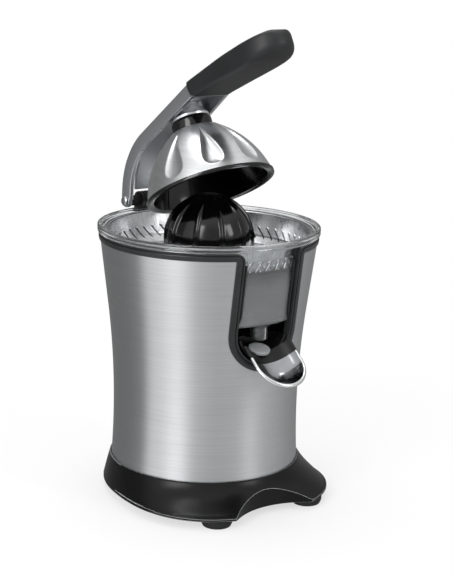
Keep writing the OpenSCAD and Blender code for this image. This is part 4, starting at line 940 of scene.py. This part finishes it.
TIP_Y, TIP_Z, SLOPE, SPOUT_W, SPOUT_DEPTH = 116, 118, 39, 22, 13.3
TROUGH_R = (SPOUT_W ** 2 + SPOUT_DEPTH ** 2) / (2 * SPOUT_DEPTH)
AT_LIP = Matrix.Translation((0, -TIP_Y, TIP_Z)) @ turn(SLOPE, "X")


def trough(radius, length):
    """Half a ball cap in front, then the same curve carried straight back, about the lip's own axes."""
    rim = math.asin(SPOUT_W / TROUGH_R)
    centre_z = TROUGH_R - SPOUT_DEPTH
    arc = [(radius * math.sin(rim * i / 16), centre_z - radius * math.cos(rim * i / 16))
           for i in range(17)]
    front = spun(arc, False, 40, 180)
    placed(front, Matrix.Translation((0, SPOUT_W, 0)) @ turn(180, "Z"))
    back = bmesh.new()
    both = [(-x, SPOUT_W, z) for x, z in reversed(arc[1:])] + [(x, SPOUT_W, z) for x, z in arc]
    line = [back.verts.new(p) for p in both]
    edges = [back.edges.new(pair) for pair in zip(line, line[1:])]
    for _ in range(6):
        made = bmesh.ops.extrude_edge_only(back, edges=edges)["geom"]
        bmesh.ops.translate(back, vec=(0, length / 6, 0), verts=of_kind(made, bmesh.types.BMVert))
        edges = [e for e in of_kind(made, bmesh.types.BMEdge)
                 if abs(e.verts[0].co.y - e.verts[1].co.y) < 1e-4]
    joined = merged(front, back)
    bmesh.ops.remove_doubles(joined, verts=joined.verts, dist=0.01)
    bmesh.ops.recalc_face_normals(joined, faces=joined.faces)
    return joined


def lip_path(length):
    """Line round the rim: up one side, round the front and back."""
    line = [Vector((-SPOUT_W, SPOUT_W + length * (1 - k / 14), 0)) for k in range(14)]
    line += [Vector((-SPOUT_W * math.cos(a), SPOUT_W - SPOUT_W * math.sin(a), 0))
             for a in (math.pi * k / 40 for k in range(41))]
    line += [Vector((SPOUT_W, SPOUT_W + length * k / 14, 0)) for k in range(1, 15)]
    return line


def tube_along(line, radius, sides=14):
    """A round rod along a line that lies flat; its radius may vary with the share of the line passed."""
    rows = []
    spokes = [(math.cos(2 * math.pi * k / sides), math.sin(2 * math.pi * k / sides))
              for k in range(sides)]
    for i, p in enumerate(line):
        ahead = line[min(i + 1, len(line) - 1)] - line[max(i - 1, 0)]
        side = ahead.cross(Vector((0, 0, 1))).normalized()
        r = radius(i / (len(line) - 1)) if callable(radius) else radius
        rows.append([p + side * r * out + Vector((0, 0, r * up)) for out, up in spokes])
    return swept(rows)


SPOUT_BACK = 20.5
spout_bm = trough(TROUGH_R, SPOUT_BACK)
bmesh.ops.solidify(spout_bm, geom=spout_bm.faces[:], thickness=1.2)
lip = tube_along(lip_path(SPOUT_BACK), lambda t: 0.9 + 0.9 * math.sin(math.pi * t) ** 1.5)
spout = made_object("polished_spout", placed(spout_bm, AT_LIP), 40)
dressed(spout, mirror_steel, "spout", "spout_steel", "spout_chute")
# The rolled lip in the lighter steel: a painted highlight along the rim.
dressed(made_object("spout_rolled_lip", placed(lip, AT_LIP), 40), highlight_steel, "spout", "spout_steel")


BED_Y0, BED_Y1 = 31, 42.5


def trough_shade_lining():
    """Black lining over the trough's rear, where the steel is clipped in: a dark sheet that stands for
    the shade in the trough's back.
    """
    rim = math.asin(SPOUT_W / TROUGH_R)
    arc = [(math.sin(rim * i / 16), -math.cos(rim * i / 16)) for i in range(-16, 17)]
    centre_z = TROUGH_R - SPOUT_DEPTH
    stations = [BED_Y0 + (BED_Y1 - BED_Y0) * k / 6 for k in range(7)]
    outer, inner = TROUGH_R - 0.1, TROUGH_R - 1.5
    rows = [[(x * outer, t, centre_z + z * outer) for x, z in arc]
            + [(x * inner, t, centre_z + z * inner) for x, z in reversed(arc)] for t in stations]
    sides = [tube_along([Vector((x, t, 0)) for t in stations], 1.35) for x in (-SPOUT_W, SPOUT_W)]
    return merged(swept(rows), *sides)


# The black lining in the trough's back is painted shade.
shade_lining = made_object("spout_painted_shade_lining", placed(trough_shade_lining(), AT_LIP), 40)
dressed(shade_lining, inner_black, "spout", "trim_plastic")

# The spout drops by this angle about its pivot from its closed place.
PIVOT, SPOUT_DROP = Vector((0, -45, 137)), 15
pad_line = rounded([(0, 143.1), (9, 143.1, 0.3), (9, 145.6, 0.8), (6.4, 145.6, 0.3), (6, 145.2, 0.3),
                    (0, 145.2)])
pad = placed(spun(pad_line, False, 72), turn(SPOUT_DROP, "X", PIVOT) @ AT_NOZZLE)
dressed(made_object("seal_pad_silicone", pad, 35), pad_silicone, "spout", "pad_silicone", "seal_pad")

# ---- hinge ----

pin_line = rounded([
    (0, -26.6), (3.2, -26.4, 1.4), (4.4, -25.1, 0.9), (4.4, -24.3), (2.4, -24.3),
    (2.4, 24.3), (4.4, 24.3), (4.4, 25.1, 0.9), (3.2, 26.4, 1.4), (0, 26.6),
])
pin = placed(spun(pin_line, False, 48), Matrix.Translation(HINGE) @ turn(90, "Y"))
dressed(made_object("hinge_pin_turned", pin, 35), bright_steel, "housing", "fastener_steel", "hinge_pin")

BRACKET_Z0, BRACKET_Z1, BRACKET_HALF_W = 203.2, 228.6, 11
rear_edge = HINGE.y + 6.1
knuckle = rounded([(-5, 228.5), (-7.2, 234, 2), (-5.2, 239.4, 3), (0, 241.2, 3), (5.2, 239.4, 3),
                   (6.1, 234), (6.1, 228.5)], closed=True)
knuckle = [(HINGE.y + a, b) for a, b in knuckle]
leg = [(RIM_R + 0.6, BRACKET_Z1), (rear_edge, BRACKET_Z1), (rear_edge, BRACKET_Z0),
       (RIM_R + 0.6, BRACKET_Z0)]
to_side = turn(90, "Z")
bracket_parts = [placed(prism(outline, -BRACKET_HALF_W, BRACKET_HALF_W), to_side)
                 for outline in (knuckle, leg)]
for i in range(7):
    rib = prism([(a + (a - HINGE.y) * 0.08, HINGE.z + (b - HINGE.z) * 1.08) for a, b in knuckle],
                -0.6, 0.6)
    bracket_parts.append(placed(rib, Matrix.Translation((-9.6 + 3.2 * i, 0, 0)) @ to_side))
bracket_parts.append(
    block((-BRACKET_HALF_W, 86, BRACKET_Z0), (BRACKET_HALF_W, RIM_R + 1, 214.8), 0.4))
bracket = made_object("ribbed_hinge_bracket", merged(*bracket_parts), 35)
dressed(bracket, inner_black, "housing", "trim_plastic", "hinge_bracket")

# ---- CAD nodes that keep their own shape ----

FINISHES = (
    (inner_black, "base_plate inner_body bowl_well motor_end_bell microswitch spout_carrier"),
    (bright_steel, "base_screws tie_screws bracket_screws gearbox_screws cluster_axle spout_axle"),
    (bright_steel, "motor_shaft hub_clip return_spring drive_spindle grip_screws boss_screws dome_pin"),
    (foot_rubber, "hinge_spacers shaft_seal cord_gland"),
    (grey_nylon, "gearbox_case gearbox_cover cooling_fan"),
    (natural_nylon, "cluster_gear output_gear"),
    (bronze, "output_bush motor_bushes spindle_bush motor_pinion"),
    (plated_steel, "motor_can armature_core"),
    (carbon, "field_magnets carbon_brushes"),
    (copper, "armature_winding commutator"),
    (board_green, "rectifier_board"),
    (lead_red, "motor_leads"),
    (lead_blue, "switch_leads"),
    (plunger_red, "switch_plunger"),
)
for finish, names in FINISHES:
    for name in names.split():
        node_obj = bpy.data.objects[name]
        if not node_obj.material_slots:
            node_obj.data.materials.append(finish)
        for place in node_obj.material_slots:
            place.material = finish

# ---- studio: pale floor, soft panels, a pale surround with darker gaps for the metal to show ----

# (degrees round the object, brightness of the surround there)
DOME_OF_LIGHT = [
    (-180, 0.2), (-142, 0.23), (-118, 0.32), (-107, 0.95), (-72, 1.02), (-48, 0.68), (-22, 0.58),
    (4, 0.6), (18, 0.72), (34, 0.62), (62, 0.52), (84, 0.4), (112, 0.3), (145, 0.22), (180, 0.2),
]


def mixed(tree, by, first, second):
    """The first shader where by is 0 and the second where it is 1."""
    return add(tree, "ShaderNodeMixShader", links={0: by, 1: first.outputs[0], 2: second.outputs[0]})


def seen_rays(tree):
    """The light path, and 1 for what the camera sees straight or through the clear wall."""
    path = add(tree, "ShaderNodeLightPath").outputs
    straight = add(tree, "ShaderNodeMath", operation="MAXIMUM",
                   links={0: path["Is Camera Ray"], 1: path["Is Transmission Ray"]})
    return path, straight.outputs[0]


def studio_world():
    """Plain light, a banded surround for gloss to show, and white for the camera."""
    world = bpy.data.worlds.new("studio")
    bpy.context.scene.world = world
    world.use_nodes = True
    tree = world.node_tree
    tree.nodes.clear()
    way = add(tree, "ShaderNodeTexCoord").outputs["Generated"]
    parts = add(tree, "ShaderNodeSeparateXYZ", links={0: way}).outputs
    flipped = add(tree, "ShaderNodeMath", {1: -1.0}, {0: parts[1]}, operation="MULTIPLY").outputs[0]
    angle = add(tree, "ShaderNodeMath", links={0: parts[0], 1: flipped}, operation="ARCTAN2").outputs[0]
    along = ranged(tree, angle, 0, 1, -math.pi, math.pi)
    ramp = add(tree, "ShaderNodeValToRGB", links={0: along})
    stops = ramp.color_ramp.elements
    while len(stops) > 1:
        stops.remove(stops[-1])
    for i, (degrees, level) in enumerate(DOME_OF_LIGHT):
        stop = stops[0] if i == 0 else stops.new(degrees / 360 + 0.5)
        stop.position = degrees / 360 + 0.5
        stop.color = (level, level, level, 1)
    high = ranged(tree, parts[2], 0, 1, 0.5, 0.97)
    sky = add(tree, "ShaderNodeMix", data_type="RGBA", links={0: high, 6: ramp.outputs[0]})
    sky.inputs[7].default_value = (1.15, 1.15, 1.15, 1)
    path, straight = seen_rays(tree)
    shiny = add(tree, "ShaderNodeBackground", links={"Color": sky.outputs[2]})
    plain = add(tree, "ShaderNodeBackground", {"Color": (0.62, 0.62, 0.62, 1)})
    white = add(tree, "ShaderNodeBackground", {"Color": (1, 1, 1, 1)})
    last = mixed(tree, straight, mixed(tree, path["Is Glossy Ray"], plain, shiny), white)
    add(tree, "ShaderNodeOutputWorld", links={0: last.outputs[0]})


def studio_floor():
    """White to the camera but for the object's shadow, and open to reflections."""
    bm = bmesh.new()
    bmesh.ops.create_circle(bm, cap_ends=True, radius=9000, segments=96)
    floor = made_object("floor", bm)
    mat = bpy.data.materials.new("pale_sweep")
    mat.use_nodes = True
    tree = mat.node_tree
    tree.nodes.clear()
    where = add(tree, "ShaderNodeTexCoord").outputs["Object"]
    far = add(tree, "ShaderNodeVectorMath", links={0: where}, operation="LENGTH").outputs["Value"]
    white = add(tree, "ShaderNodeEmission", {"Color": (1, 1, 1, 1), "Strength": 1.0})
    matt = add(tree, "ShaderNodeBsdfDiffuse", {"Color": paint("#F2F2F2")})
    open_air = add(tree, "ShaderNodeBsdfTransparent")
    shade = ranged(tree, far, 0.35, 0.0, 0.1, 0.45)
    path, straight = seen_rays(tree)
    looked_at = mixed(tree, straight, matt, mixed(tree, shade, white, matt))
    last = mixed(tree, path["Is Glossy Ray"], looked_at, open_air)
    add(tree, "ShaderNodeOutputMaterial", links={0: last.outputs[0]})
    floor.data.materials.append(mat)


def softbox(name, place, aim, size, power):
    """A rectangular lamp: places and size in metres, power in watts."""
    light = bpy.data.lights.new(name, "AREA")
    light.shape, light.size, light.size_y, light.energy = "RECTANGLE", size[0], size[1], power
    obj = bpy.data.objects.new(name, light)
    bpy.context.scene.collection.objects.link(obj)
    facing = (Vector(place) - Vector(aim)).to_track_quat("Z", "Y").to_matrix().to_4x4()
    obj.matrix_world = Matrix.Translation(place) @ facing


studio_world()
studio_floor()
softbox("key_panel", (-1.5, -0.55, 0.95), (0, 0, 0.2), (0.7, 1.1), 14)
softbox("front_panel", (0.75, -1.6, 1.0), (0, 0, 0.2), (0.5, 0.9), 7)
softbox("top_panel", (0.1, 0.3, 1.6), (0, 0, 0.2), (1.0, 0.8), 9)

# ---- camera ----


def studio_camera():
    """The first view. Away and high are metres, the turns degrees: round, aside, down and leaning."""
    away, high, around, down, aside, lean = 1.2606, 0.47635, -35.954, 13.673, 0.697, 1.517
    a, y, p, r = (math.radians(v) for v in (around, aside, down, lean))
    ahead = Vector((-math.sin(a), math.cos(a), 0))
    right = Vector((math.cos(a), math.sin(a), 0))
    up = Vector((0, 0, 1))
    ahead, right = ahead * math.cos(y) + right * math.sin(y), right * math.cos(y) - ahead * math.sin(y)
    ahead, up = ahead * math.cos(p) - up * math.sin(p), up * math.cos(p) + ahead * math.sin(p)
    right, up = right * math.cos(r) + up * math.sin(r), up * math.cos(r) - right * math.sin(r)
    data = bpy.data.cameras.new("camera")
    data.lens, data.sensor_width, data.sensor_fit = 95.36, 36, "AUTO"
    cam = bpy.data.objects.new("camera", data)
    bpy.context.scene.collection.objects.link(cam)
    spot = Vector((away * math.sin(a), -away * math.cos(a), high))
    cam.matrix_world = Matrix((
        (right.x, up.x, -ahead.x, spot.x), (right.y, up.y, -ahead.y, spot.y),
        (right.z, up.z, -ahead.z, spot.z), (0, 0, 0, 1)))
    bpy.context.scene.camera = cam


studio_camera()
bpy.context.scene.view_settings.view_transform = "Standard"
